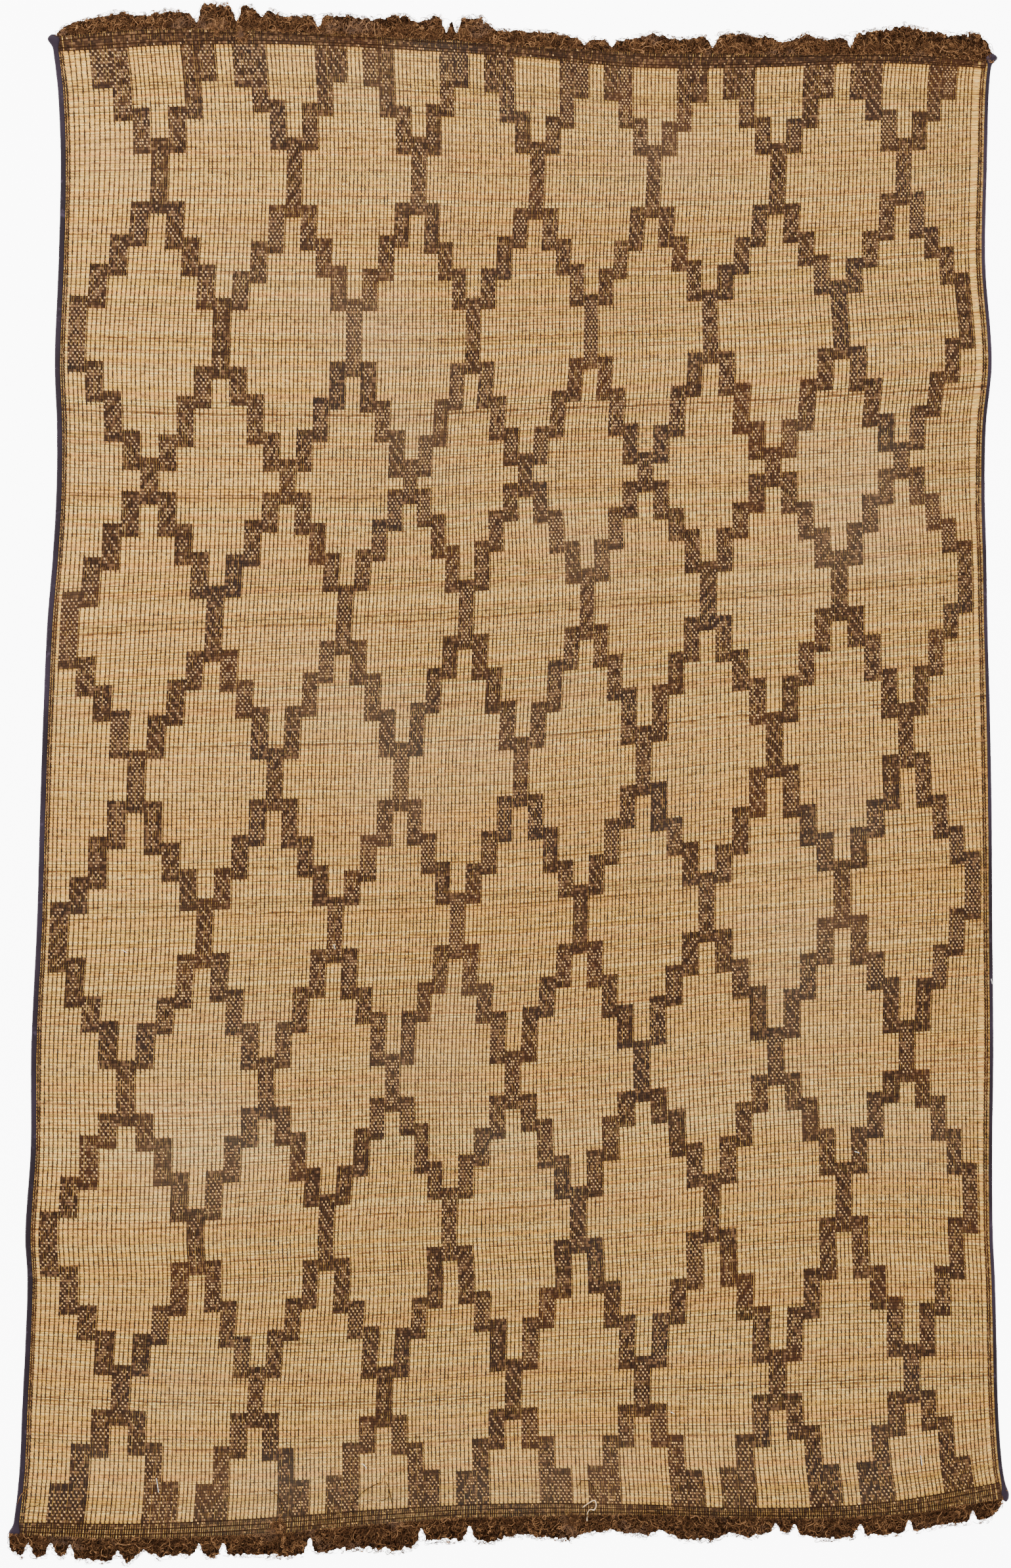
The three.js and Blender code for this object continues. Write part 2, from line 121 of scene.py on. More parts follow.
def smooth_through(keys, values, at):
    """A smooth line through values given at rising keys; values may hold one line per column."""
    at = np.asarray(at, dtype=float)
    keys = np.asarray(keys, dtype=float)
    values = np.asarray(values, dtype=float)
    low = np.clip(np.searchsorted(keys, at, side="right") - 1, 0, len(keys) - 2)
    high = low + 1
    before = np.maximum(low - 1, 0)
    after = np.minimum(low + 2, len(keys) - 1)

    def column(numbers):
        return numbers if values.ndim == 1 else numbers[:, None]

    span = column(keys[high] - keys[low])
    share = column(at - keys[low]) / span
    low_slope = (values[high] - values[before]) / column(keys[high] - keys[before]) * span
    high_slope = (values[after] - values[low]) / column(keys[after] - keys[low]) * span
    square = share * share
    cube = square * share
    return (
        (2 * cube - 3 * square + 1) * values[low]
        + (cube - 2 * square + share) * low_slope
        + (3 * square - 2 * cube) * values[high]
        + (cube - square) * high_slope
    )


def left_edge(along):
    return smooth_through(SIDE_EDGES[:, 0], SIDE_EDGES[:, 1], along)


def right_edge(along):
    return smooth_through(SIDE_EDGES[:, 0], SIDE_EDGES[:, 2], along)


def across_mat(along, shares, inset=0.0):
    """Places across the mat, by their share of the way from the left edge to the right."""
    return (left_edge(along) + inset) * (1 - shares) + (right_edge(along) - inset) * shares


def line_heights(pairs, across):
    """Heights of reed lines, one row per pair number and one column per share across."""
    numbers = [FIRST_PAIR, *(number for number, _ in REED_LINES), LAST_PAIR]
    rows = [smooth_through(END_EDGES[:, 0], END_EDGES[:, 1], across)]
    rows += [smooth_through(LINE_SHARES, heights, across) for _, heights in REED_LINES]
    rows.append(smooth_through(END_EDGES[:, 0], END_EDGES[:, 2], across))
    return smooth_through(numbers, np.array(rows), pairs)


def swell(pairs, across):
    """Rise of the cloth above its mean height, for a grid of pair numbers and shares across."""
    down = (pairs[:, None] - FIRST_PAIR) / (LAST_PAIR - FIRST_PAIR)
    rise = np.zeros((len(pairs), len(across)))
    for waves_across, waves_along, height, start in SWELLS:
        turns = waves_across * across[None, :] + waves_along * down
        rise += height * np.sin(2 * math.pi * turns + start)
    return rise


def wander(chance, lines, stations, spacing, size):
    """Slow seeded wandering from 0 up to size each way, one line per row."""
    knots = chance.uniform(-size, size, (lines, stations // spacing + 3))
    at = np.arange(stations) / spacing
    low = at.astype(int)
    share = at - low
    share = share * share * (3 - 2 * share)
    return knots[:, low] * (1 - share) + knots[:, low + 1] * share


# The CAD frame's origin is under the middle of the whole mat, so the tables are moved by the
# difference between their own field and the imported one
REED_END_INSET = 1.2
field_low, field_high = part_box("reed_field")
edge_heights = line_heights(np.linspace(FIRST_PAIR, LAST_PAIR, 200), np.array([0.0, 1.0]))
table_low = np.min(left_edge(edge_heights[:, 0])) + REED_END_INSET
table_high = np.max(right_edge(edge_heights[:, 1])) - REED_END_INSET
end_lines = line_heights(ENDS_OF_MAT, np.linspace(0, 1, 400))
SHIFT_X = (field_low[0] + field_high[0]) / 2 - (table_low + table_high) / 2 * MM
SHIFT_Y = (field_low[1] + field_high[1]) / 2 - (end_lines.max() + end_lines.min()) / 2 * MM


def placed(sides, heights_along, lift):
    """Points of the mat in metres, in the CAD frame, from millimetres in the tables' frame."""
    sides, heights_along, lift = np.broadcast_arrays(sides, heights_along, lift)
    points = np.stack([sides, heights_along, lift], axis=-1).reshape(-1, 3) * MM
    return points + np.array([SHIFT_X, SHIFT_Y, 0.0])


def make_piece(name, points, faces, weave, materials, material_numbers=None):
    """A mesh piece from points and faces of equal size, with a weave map and a flat bake map."""
    faces = np.asarray(faces, dtype=np.int32)
    corners = faces.reshape(-1)
    size = faces.shape[1]
    mesh = bpy.data.meshes.new(name)
    mesh.vertices.add(len(points))
    mesh.vertices.foreach_set("co", np.asarray(points, dtype=np.float32).reshape(-1))
    mesh.loops.add(len(corners))
    mesh.loops.foreach_set("vertex_index", corners)
    mesh.polygons.add(len(faces))
    mesh.polygons.foreach_set("loop_start", np.arange(len(faces), dtype=np.int32) * size)
    weave_map = mesh.uv_layers.new(name="weave")
    weave_map.data.foreach_set("uv", np.asarray(weave, dtype=np.float32)[corners].reshape(-1))
    bake_map = mesh.uv_layers.new(name="OFBake")
    flat = (np.asarray(points)[:, :2] - cad_box_low) / cad_box_size
    bake_map.data.foreach_set("uv", flat.astype(np.float32)[corners].reshape(-1))
    mesh.update(calc_edges=True)
    mesh.validate()
    mesh.shade_smooth()
    for material in materials:
        mesh.materials.append(material)
    if material_numbers is not None:
        mesh.polygons.foreach_set("material_index", np.asarray(material_numbers, dtype=np.int32))
    piece = bpy.data.objects.new(name, mesh)
    bpy.context.scene.collection.objects.link(piece)
    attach(piece, "root")
    return piece


BAKE_MARGIN = 0.02
cad_box_low = np.array(cad_box[0][:2], dtype=float) - BAKE_MARGIN
cad_box_size = np.array(cad_box[1][:2], dtype=float) + BAKE_MARGIN - cad_box_low


def grid_faces(number, order):
    """Faces between the lines of a grid of point numbers. The order names each face's corners:
    a is a point, b the next one on its line, and d and c are those of the next line."""
    corners = {
        "a": number[..., :-1, :-1], "b": number[..., :-1, 1:],
        "c": number[..., 1:, 1:], "d": number[..., 1:, :-1],
    }
    return np.stack([corners[letter] for letter in order], axis=-1).reshape(-1, 4)


def weave_map_of(across, along):
    """Weave coordinates of a grid of points: across the threads and along them."""
    return np.stack(np.broadcast_arrays(across, along), axis=-1).reshape(-1, 2)


def connect(value, socket):
    """Link a value to an input of the same shader tree, or set the input's plain value."""
    if isinstance(value, Value):
        value = value.socket
    if isinstance(value, bpy.types.NodeSocket):
        socket.id_data.links.new(value, socket)
    elif value is not None:
        socket.default_value = value


def add_node(tree, kind, settings=None, inputs=None):
    """A node with its settings, and its inputs linked or set."""
    node = tree.nodes.new(kind)
    for key, value in (settings or {}).items():
        setattr(node, key, value)
    for key, value in (inputs or {}).items():
        connect(value, node.inputs[key])
    return node


class Value:
    """A number or colour in a shader tree. Plain arithmetic on it adds math nodes."""

    def __init__(self, socket):
        self.socket = socket
        self.tree = socket.id_data

    def math(self, operation, *others):
        inputs = dict(enumerate((self, *others)))
        node = add_node(self.tree, "ShaderNodeMath", {"operation": operation}, inputs)
        return Value(node.outputs[0])

    def __add__(self, other):
        return self.math("ADD", other)

    def __sub__(self, other):
        return self.math("SUBTRACT", other)

    def __mul__(self, other):
        return self.math("MULTIPLY", other)

    def __truediv__(self, other):
        return self.math("DIVIDE", other)

    def __pow__(self, other):
        return self.math("POWER", other)

    def __abs__(self):
        return self.math("ABSOLUTE")

    def floor(self):
        return self.math("FLOOR")

    def fract(self):
        return self.math("FRACT")

    def step(self, low, high):
        """A smooth step from 0 at low to 1 at high."""
        inputs = {"Value": self, "From Min": low, "From Max": high}
        node = add_node(
            self.tree, "ShaderNodeMapRange", {"interpolation_type": "SMOOTHSTEP"}, inputs
        )
        return Value(node.outputs["Result"])

    def mix(self, first, second, blend_type="MIX"):
        """A colour that goes from the first where this mask is 0 to the second where it is 1."""
        settings = {"data_type": "RGBA", "blend_type": blend_type}
        node = add_node(self.tree, "ShaderNodeMix", settings, {"Factor": self})
        colours = [socket for socket in node.inputs if socket.type == "RGBA"]
        for value, socket in zip((first, second), colours):
            connect(value, socket)
        return Value(next(socket for socket in node.outputs if socket.type == "RGBA"))


def layered(colour, *layers):
    """A colour with others laid over it in turn, each by its own mask."""
    for mask, tone in layers:
        colour = mask.mix(colour, tone)
    return colour


def paint(red, green, blue):
    """A linear colour from the usual 0 to 255 screen values."""
    def linear(value):
        share = value / 255
        return share / 12.92 if share <= 0.04045 else ((share + 0.055) / 1.055) ** 2.4
    return (linear(red), linear(green), linear(blue), 1.0)


def place_of(tree):
    """Places on the object in metres."""
    return add_node(tree, "ShaderNodeTexCoord").outputs["Object"]


def noise(tree, vector, scale, detail, **more):
    """Soft noise at places given by a vector."""
    inputs = {"Vector": vector, "Scale": scale, "Detail": detail, **more}
    return Value(add_node(tree, "ShaderNodeTexNoise", None, inputs).outputs["Fac"])


def join_vector(tree, first, second):
    node = add_node(tree, "ShaderNodeCombineXYZ", None, {0: first, 1: second})
    return node.outputs[0]


def random_of(tree, first, second=0.0):
    """A seeded random value for each pair of whole numbers."""
    inputs = {"Vector": join_vector(tree, first, second)}
    node = add_node(tree, "ShaderNodeTexWhiteNoise", {"noise_dimensions": "2D"}, inputs)
    return Value(node.outputs["Value"])


def weave_coordinates(tree):
    """Values of the weave map: across the threads and along them."""
    uv = add_node(tree, "ShaderNodeUVMap", {"uv_map": "weave"})
    split = add_node(tree, "ShaderNodeSeparateXYZ", None, {"Vector": uv.outputs["UV"]})
    return Value(split.outputs["X"]), Value(split.outputs["Y"])


def open_group(name, inputs, outputs):
    """A shader node group with named sockets; gives its tree, its givens and its results."""
    tree = bpy.data.node_groups.new(name, "ShaderNodeTree")
    for socket_name, kind, value in inputs:
        socket = tree.interface.new_socket(socket_name, in_out="INPUT", socket_type=kind)
        socket.default_value = value
    for socket_name, kind in outputs:
        tree.interface.new_socket(socket_name, in_out="OUTPUT", socket_type=kind)
    given = tree.nodes.new("NodeGroupInput").outputs
    return tree, given, tree.nodes.new("NodeGroupOutput").inputs


def place_group(tree, group, output, inputs):
    """One output of a group placed in a tree with its inputs linked or set."""
    return Value(add_node(tree, "ShaderNodeGroup", {"node_tree": group}, inputs).outputs[output])


def make_tone_group():
    """Tone of the cloth over its whole face: warm and grey zones, soiling and pale wear."""
    tree, given, result = open_group(
        "cloth_tone",
        [
            ("Colour", "NodeSocketColor", (0.5, 0.5, 0.5, 1.0)),
            ("Zones", "NodeSocketFloat", 1.0),
            ("Soiling", "NodeSocketFloat", 0.5),
        ],
        [("Colour", "NodeSocketColor")],
    )
    place = place_of(tree)
    elsewhere = add_node(
        tree, "ShaderNodeMapping", None, {"Vector": place, "Location": (3.7, 1.9, 0.0)}
    ).outputs["Vector"]
    warm = noise(tree, place, 1.6, 3.0).step(0.42, 0.68) * given["Zones"]
    pale = noise(tree, elsewhere, 2.7, 4.0).step(0.5, 0.72) * given["Zones"]
    soiled = noise(tree, place, 14.0, 5.0).step(0.52, 0.78) * given["Soiling"]
    colour = (warm * 0.22).mix(given["Colour"], paint(255, 234, 204), "MULTIPLY")
    colour = (pale * 0.1).mix(colour, paint(240, 212, 172))
    colour = (soiled * 0.24).mix(colour, paint(196, 170, 146), "MULTIPLY")
    connect(colour, result["Colour"])
    return tree


def make_fibre_group():
    """Fine fibres along a yarn or stem: a height for bump and a light and dark mask."""
    tree, given, result = open_group(
        "fibre_grain",
        [
            ("Vector", "NodeSocketVector", (0.0, 0.0, 0.0)),
            ("Scale", "NodeSocketFloat", 1.0),
        ],
        [("Height", "NodeSocketFloat"), ("Mask", "NodeSocketFloat")],
    )
    fine = noise(tree, given["Vector"], given["Scale"], 3.0, Roughness=0.6)
    connect(fine, result["Height"])
    connect(fine.step(0.3, 0.7), result["Mask"])
    return tree


cloth_tone = make_tone_group()
fibre_grain = make_fibre_group()


def toned(tree, colour, zones, soiling):
    """A colour with the tone of the whole cloth over it."""
    return place_group(
        tree, cloth_tone, "Colour", {"Colour": colour, "Zones": zones, "Soiling": soiling}
    )


def open_material(name, roughness, specular):
    """A material with a Principled BSDF whose even values are set on its own sockets."""
    material = bpy.data.materials.new(name)
    material.use_nodes = True
    shader = material.node_tree.nodes["Principled BSDF"]
    shader.inputs["Roughness"].default_value = roughness
    shader.inputs["Specular IOR Level"].default_value = specular
    return material, material.node_tree, shader


def add_bump(shader, height, distance, strength):
    inputs = {"Height": height, "Distance": distance, "Strength": strength}
    bump = add_node(shader.id_data, "ShaderNodeBump", None, inputs)
    connect(bump.outputs["Normal"], shader.inputs["Normal"])


REED_GOLD = paint(250, 184, 76)
REED_PALE = paint(255, 220, 130)
REED_TAN = paint(205, 142, 58)
REED_PINK = paint(226, 154, 78)
REED_OLIVE = paint(205, 158, 62)
REED_BROWN = paint(118, 78, 46)
REED_BLEACHED = paint(255, 228, 156)
REED_RUST = paint(112, 62, 32)
REED_KNOT = paint(64, 34, 16)
# Painted shade for the seams between reeds and the deeper seams between reed pairs
REED_SEAM_SHADE = paint(96, 62, 34)
REED_PAIR_SEAM_SHADE = paint(50, 30, 16)


def make_reed_group():
    """Dry straw by reed number: each stem's own tone, streaks and flecks, and painted shade in the
    seams.
    """
    tree, given, result = open_group(
        "reed_face", [("Along", "NodeSocketFloat", 0.0)], [("Colour", "NodeSocketColor")]
    )
    along = Value(given["Along"])
    split = add_node(tree, "ShaderNodeSeparateXYZ", None, {"Vector": place_of(tree)})
    across = Value(split.outputs["X"])
    reed = along.floor()

    def along_reed(scale, start, detail):
        """Noise stretched along each reed, with its own run in every reed."""
        down = reed * 4.83 + (along * 0.9 + start)
        return noise(tree, join_vector(tree, across * scale, down), 1.0, detail)

    mottle = along_reed(260.0, 0.0, 3.0)
    streak = along_reed(45.0, 31.0, 4.0)
    fleck = along_reed(330.0, 67.0, 1.0)
    gap = along_reed(16.0, 93.0, 3.0)
    hue = random_of(tree, reed, 12.0)
    rusty = random_of(tree, reed, 8.0).step(0.95, 0.97) * streak.step(0.4, 0.52)
    colour = layered(
        random_of(tree, reed, 3.0).mix(REED_GOLD, REED_PALE),
        (hue.step(0.6, 0.9) * 0.7, REED_PINK),
        (hue.step(0.4, 0.1) * 0.7, REED_OLIVE),
        (mottle.step(0.42, 0.68) * 0.6, REED_TAN),
        (streak.step(0.5, 0.7) * 0.85, REED_BROWN),
        (streak.step(0.4, 0.28), REED_BLEACHED),
        (rusty * 0.7, REED_RUST),
        (fleck.step(0.67, 0.75) * 0.85, REED_KNOT),
    )
    colour = toned(tree, colour, 1.0, 0.7)
    strength = random_of(tree, (along + 0.5).floor(), 41.0)
    # Painted shade: the seams between reeds, and more between pairs, are darkened in colour where
    # the shallow valleys of the sheet give too little shade
    for share, wide, amount, tone in (
            (1.0, 0.2, 0.5, REED_SEAM_SHADE), (0.5, 0.24, 0.75, REED_PAIR_SEAM_SHADE)):
        from_middle = abs((along * share).fract() - 0.5)
        seam_shade = (gap * wide + from_middle).step(0.42, 0.6)
        colour = (seam_shade * (strength * amount + 0.12)).mix(colour, tone)
    connect(colour, result["Colour"])
    return tree


reed_face = make_reed_group()


def make_reed_material():
    """Dry straw with a faint gloss along each stem and fine lengthwise grain."""
    material, tree, shader = open_material("straw_reed", 0.7, 0.12)
    across, along = weave_coordinates(tree)
    face = place_group(tree, reed_face, "Colour", {"Along": along})
    connect(face, shader.inputs["Base Color"])
    lengthwise = join_vector(tree, across * 60.0, along * 4.0)
    grain = place_group(tree, fibre_grain, "Height", {"Vector": lengthwise})
    add_bump(shader, grain, 0.0003, 0.5)
    return material


straw_reed = make_reed_material()


def make_reed_sheet():
    """The ridged sheet: a crest and a valley line for each reed, closed by low walls."""
    chance = np.random.default_rng(5)
    lines = LINES_PER_PAIR * (LAST_PAIR - FIRST_PAIR) + 1
    pairs = np.arange(lines) / LINES_PER_PAIR + FIRST_PAIR
    inner = np.linspace(0, 1, SHEET_COLUMNS + 2)[1:-1]
    shares = np.concatenate([[0] * len(SHEET_INSETS), inner, [1] * len(SHEET_INSETS)])
    insets = np.concatenate([
        SHEET_INSETS, np.zeros(SHEET_COLUMNS), [-inset for inset in reversed(SHEET_INSETS)],
    ])
    along = line_heights(pairs, shares)
    loose = wander(chance, lines // LINES_PER_PAIR + 1, len(shares), 2, REED_WANDER)
    along[1:-1] += np.repeat(loose, LINES_PER_PAIR, axis=0)[1:lines - 1]
    across = across_mat(along, shares) + insets
    depth = np.zeros(lines)
    depth[0::LINES_PER_PAIR] = PAIR_SEAM_DEPTH
    depth[2::LINES_PER_PAIR] = MIDDLE_SEAM_DEPTH
    lift = CREST_HEIGHT + swell(pairs, shares) - depth[:, None]
    tucked = np.abs(insets) > 0
    tucked[len(SHEET_INSETS) - 1] = False
    tucked[-len(SHEET_INSETS)] = False
    lift[:, tucked] = TUCKED_HEIGHT - TUCKED_DEPTH_SHARE * depth[:, None]
    points = placed(across, along, lift)
    reed_numbers = (2 * (pairs + HEADING_PAIRS))[:, None]
    weave = weave_map_of((across - WEAVE_START) / WEAVE_LENGTH, reed_numbers)
    number = np.arange(along.size).reshape(along.shape)
    faces = grid_faces(number, "dcba")

    rim = np.concatenate([
        number[0, :], number[1:, -1], number[-1, -2::-1], number[-2:0:-1, 0],
    ])
    feet = points[rim].copy()
    feet[:, 2] = WALL_FOOT * MM
    foot_number = len(points) + np.arange(len(rim))
    walls = np.stack([rim, np.roll(rim, -1), np.roll(foot_number, -1), foot_number], axis=-1)
    points = np.concatenate([points, feet])
    weave = np.concatenate([weave, weave[rim]])
    return make_piece(
        "reed_sheet", points, np.concatenate([faces, walls]), weave, [straw_reed]
    )


reed_sheet = make_reed_sheet()
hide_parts("reed_field")


# The underside: the same reeds and warps seen from below, flatter because the mat has been
# trodden against the floor. The warps bind both faces, so they show here too.
UNDERSIDE_ROWS = 96
UNDERSIDE_COLUMNS = 48
UNDERSIDE_HEIGHT = 0.5
UNDERSIDE_INSET = 3.0
WARPS_ACROSS = 233


def make_underside_material():
    """Reeds crossed by dark warps, with painted shade between the reeds, drawn in the material
    because this face lies on the floor.
    """
    material, tree, shader = open_material("underside_weave", 0.8, 0.2)
    across, along = weave_coordinates(tree)
    ridge = along.math("PINGPONG", 0.5)
    off_warp = abs(across.fract() - 0.5)
    colour = layered(
        random_of(tree, along.floor()).mix(paint(206, 164, 112), paint(228, 192, 142)),
        # Painted shade in the valleys between reeds
        (ridge.step(0.2, 0.05), paint(112, 74, 44)),
        (off_warp.step(0.17, 0.11), paint(84, 54, 30)),
    )
    connect(toned(tree, colour, 0.6, 1.0), shader.inputs["Base Color"])
    add_bump(shader, ridge * 2.0, 0.001, 0.7)
    return material


def make_underside():
    pairs = np.linspace(FIRST_PAIR, LAST_PAIR, UNDERSIDE_ROWS)
    shares = np.linspace(0, 1, UNDERSIDE_COLUMNS)
    along = line_heights(pairs, shares)
    across = across_mat(along, shares, UNDERSIDE_INSET)
    number = np.arange(along.size).reshape(along.shape)
    weave = weave_map_of(shares[None, :] * WARPS_ACROSS, 2 * pairs[:, None])
    points = placed(across, along, UNDERSIDE_HEIGHT)
    return make_piece(
        "mat_underside", points, grid_faces(number, "abcd"), weave, [make_underside_material()]
    )


mat_underside = make_underside()
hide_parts("reed_field")


# The warps: 233 hand-spun brown yarns that run the length of the mat and grip the reeds pair by
# pair. In the bars, steps and headings a second yarn lies beside each, close enough to hide the
# reeds, and small charted gaps let single reed pairs show as cream dots.
YARNS_PER_COLUMN = 8
FIRST_YARN = -4.94
LAST_YARN = 53.06
WARP_WIDTH = 2.7
WARP_WIDTH_SPREAD = 0.6
FILLED_SHARE = 0.93
FILLED_SPREAD = 0.12
LOOSE_PATCH = 0.08
LOOSE_PATCH_PAIRS = 7
LOOSE_ROW = 0.08
LOOSE_ROW_YARNS = 9
TOP_HEADING_SHARE = 0.98
BOTTOM_HEADING_SHARE = 0.81
HEADING_EDGE_SHARE = 0.84
NARROWEST_SHARE = 0.45
WIDEST_SHARE = 1.04
YARN_RISE = 0.55
YARN_WANDER = 0.7
YARN_WANDER_PAIRS = 22
YARN_JITTER = 0.25
DOT_MARGIN = 2
EDGE_WARP_WIDTH = 4.6
THREAD_MARGIN = 0.03
DRIFT_FADE_COLUMNS = 3.0

# Distance of the outermost warps from the mat's edge: the first on the left only binds a heading
LEFT_WARPS = [9.5, 13.5, 17.3]
RIGHT_WARPS = [16.0, 12.0]

# Chance of a bare cell in the heading, from the field outwards, for each reed pair
HEADING_BARE_CHANCES = [0.06, 0.03, 0.01, 0.02, 0.08, 0.08]

# Share across the mat of numbered columns of the figure; a column holds four warps
COLUMN_SHARES = np.array([
    (-5.2, 0.0), (-4, 0.0235), (0, 0.1025), (4, 0.1769), (8, 0.2475), (12, 0.3144),
    (16, 0.380), (20, 0.4419), (24, 0.507), (28, 0.5719), (32, 0.637), (36, 0.7045),
    (40, 0.7745), (44, 0.843), (48, 0.912), (52, 0.976), (53.5, 1.0),
])
FIRST_COLUMN = -4
LAST_COLUMN = 52
COLUMNS_PER_BAR = 8
COLUMN_WIDTH = 30.5

# How far the warps have drifted sideways, in columns: reed pair, then drift at six columns
DRIFT_COLUMNS = [-4, 0, 12, 24, 36, 48]
DRIFTS = [
    (-6, [0.65, 0.25, 0.30, 0.43, 0.05, -0.15]), (42, [0.3, 0.25, 0.30, 0.43, 0.05, -0.15]),
    (96, [-0.1, -0.1, 0.25, 0.18, -0.25, -0.15]), (145, [-0.15, -0.15, 0.1, -0.15, -0.2, -0.15]),
    (191, [0.0, 0.0, 0.05, 0.18, -0.15, 0.0]), (247, [-0.15, -0.15, -0.1, -0.15, -0.2, -0.1]),
    (299, [-0.05, -0.05, -0.15, -0.15, -0.25, 0.1]),
    (353, [-0.25, -0.25, -0.2, -0.4, -0.08, -0.15]),
    (403, [0.0, 0.0, -0.25, -0.2, 0.25, 0.05]), (460, [-0.15, -0.15, -0.65, -0.25, -0.08, 0.0]),
    (506, [-0.15, -0.15, -0.65, -0.25, -0.08, 0.0]),
]

# The figure from one row of bars to the next, counted in reed pairs: first column with a bar
# above, then the top of the crossbar under that bar, of the two steps, and of the bars below
STEP_LEVELS = [
    (4, [-9, 9, 19, 30]), (0, [51, 63, 73, 83]), (4, [105, 116, 128, 138]),
    (0, [148, 157, 167, 178]), (4, [199, 210, 222, 236]), (0, [254, 267, 278, 288]),
    (4, [307, 320, 330, 343]), (0, [360, 369, 380, 391]), (4, [411, 426, 437, 450]),
    (0, [466, 476, 488, 509]),
]
CROSSBAR_PAIRS = 4
UNEVEN_PAIRS = 1
LEG_NUMBERS = 37
CHART_STARTS = 40

# Charts of the dots inside the bars and legs, one line for each reed pair, made up
DOT_CHARTS = [
    ["x.x..x.x", ".x.xx.x.", "..xxx.x.", ".x.x.x.x", "x.x...x.", ".x.....x"],
    ["x.x.x.x.", ".x.x.x.x"],
    ["...x.x..", "..x.x.x.", ".x.x.x.x", "x.x.x.x.", ".x.x.x..", "..x.x..."],
    ["x.x...x.", ".x.x...x", "..x.x...", "...x.x..", "x...x.x.", ".x...x.x"],
    ["x...x...", ".x...x..", "..x...x.", "...x...x"],
    [".x...x.x", "x...x.x.", "...x.x..", "..x.x...", ".x.x...x", "x.x...x."],
    [".x....x.", "x.x..x.x", ".x.xx.x.", "..x.x...", ".x.x.x..", "x.x..x.x"],
    ["...x....", "..x.x...", ".x.x.x..", "..x.x...", "...x....", "........"],
]


def column_drift(pairs, yarn_columns):
    """Sideways drift of the warps in millimetres, one row per pair number."""
    rows = np.array([
        smooth_through(DRIFT_COLUMNS, drifts, np.clip(yarn_columns, FIRST_COLUMN, LAST_COLUMN))
        for _, drifts in DRIFTS
    ])
    return smooth_through([pair for pair, _ in DRIFTS], rows, pairs) * COLUMN_WIDTH


def weave_figure(columns, fine, pairs, chance):
    """Which cells carry filled yarn, and which of those are dots. Cells are pairs by yarns."""
    filled = np.zeros((len(pairs), len(columns)), dtype=bool)
    dots = np.zeros_like(filled)
    inside = (columns >= FIRST_COLUMN) & (columns <= LAST_COLUMN)
    charts = [np.array([[mark == "x" for mark in line] for line in chart]) for chart in DOT_CHARTS]
    rows = pairs[:, None]
    places = 1 + int(LAST_COLUMN - FIRST_COLUMN)

    def fill(top, bottom, where, dotted):
        cells = (rows >= top) & (rows < bottom) & (where & inside)[None, :]
        filled[cells] = True
        if not dotted:
            return
        kinds = chance.integers(0, len(charts), places)[columns - FIRST_COLUMN - 1]
        phases = chance.integers(0, CHART_STARTS, places)[columns - FIRST_COLUMN - 1]
        within = (rows >= top + DOT_MARGIN) & (rows < bottom - DOT_MARGIN)
        for kind, marks in enumerate(charts):
            line = (rows.astype(int) + phases[None, :]) % len(marks)
            dots[cells & within & marks[line, fine[None, :]] & (kinds == kind)[None, :]] = True

    for gap, (first, levels) in enumerate(STEP_LEVELS):
        bar = np.round((columns - first) / COLUMNS_PER_BAR).astype(int)
        distance = np.abs(columns - first - bar * COLUMNS_PER_BAR)
        side = columns > first + bar * COLUMNS_PER_BAR
        half_leg = (2 * bar + side) % LEG_NUMBERS
        uneven = chance.integers(-UNEVEN_PAIRS, UNEVEN_PAIRS + 1, (4, LEG_NUMBERS))
        tops = [level + uneven[step][half_leg] for step, level in enumerate(levels)]
        tops[0] = levels[0] + uneven[0][bar % LEG_NUMBERS]
        next_bar = np.where(distance > 3, bar, bar - 1 + side) % LEG_NUMBERS
        tops[3] = levels[3] + uneven[3][next_bar]
        for step in (1, 2, 3):
            at_top = gap == 0 and step == 2
            at_bottom = gap == len(STEP_LEVELS) - 1 and step == 2
            top = tops[0] if at_top else tops[step - 1]
            bottom = tops[3] if at_bottom else tops[step] + CROSSBAR_PAIRS
            fill(top, bottom, distance == step, True)
        for step, top in enumerate(tops):
            beside = (distance >= step) & (distance <= step + 1)
            fill(top, top + CROSSBAR_PAIRS, beside, False)
        if gap + 1 < len(STEP_LEVELS):
            below = STEP_LEVELS[gap + 1][1][0] + CROSSBAR_PAIRS
            fill(tops[3], below, distance == 4, True)
    return filled, dots


YARN_DARK = paint(32, 17, 8)
YARN_BROWN = paint(72, 46, 27)
YARN_MIDDLE = paint(48, 29, 16)
YARN_GREY = paint(40, 32, 29)
YARN_LIGHT = paint(112, 80, 54)
YARN_RED = paint(70, 38, 18)
# Painted shade where the yarn dips between reed pairs
YARN_SEAM_SHADE = paint(20, 10, 4)
DOT_GOLD = paint(142, 100, 60)
DOT_CREAM = paint(226, 172, 100)


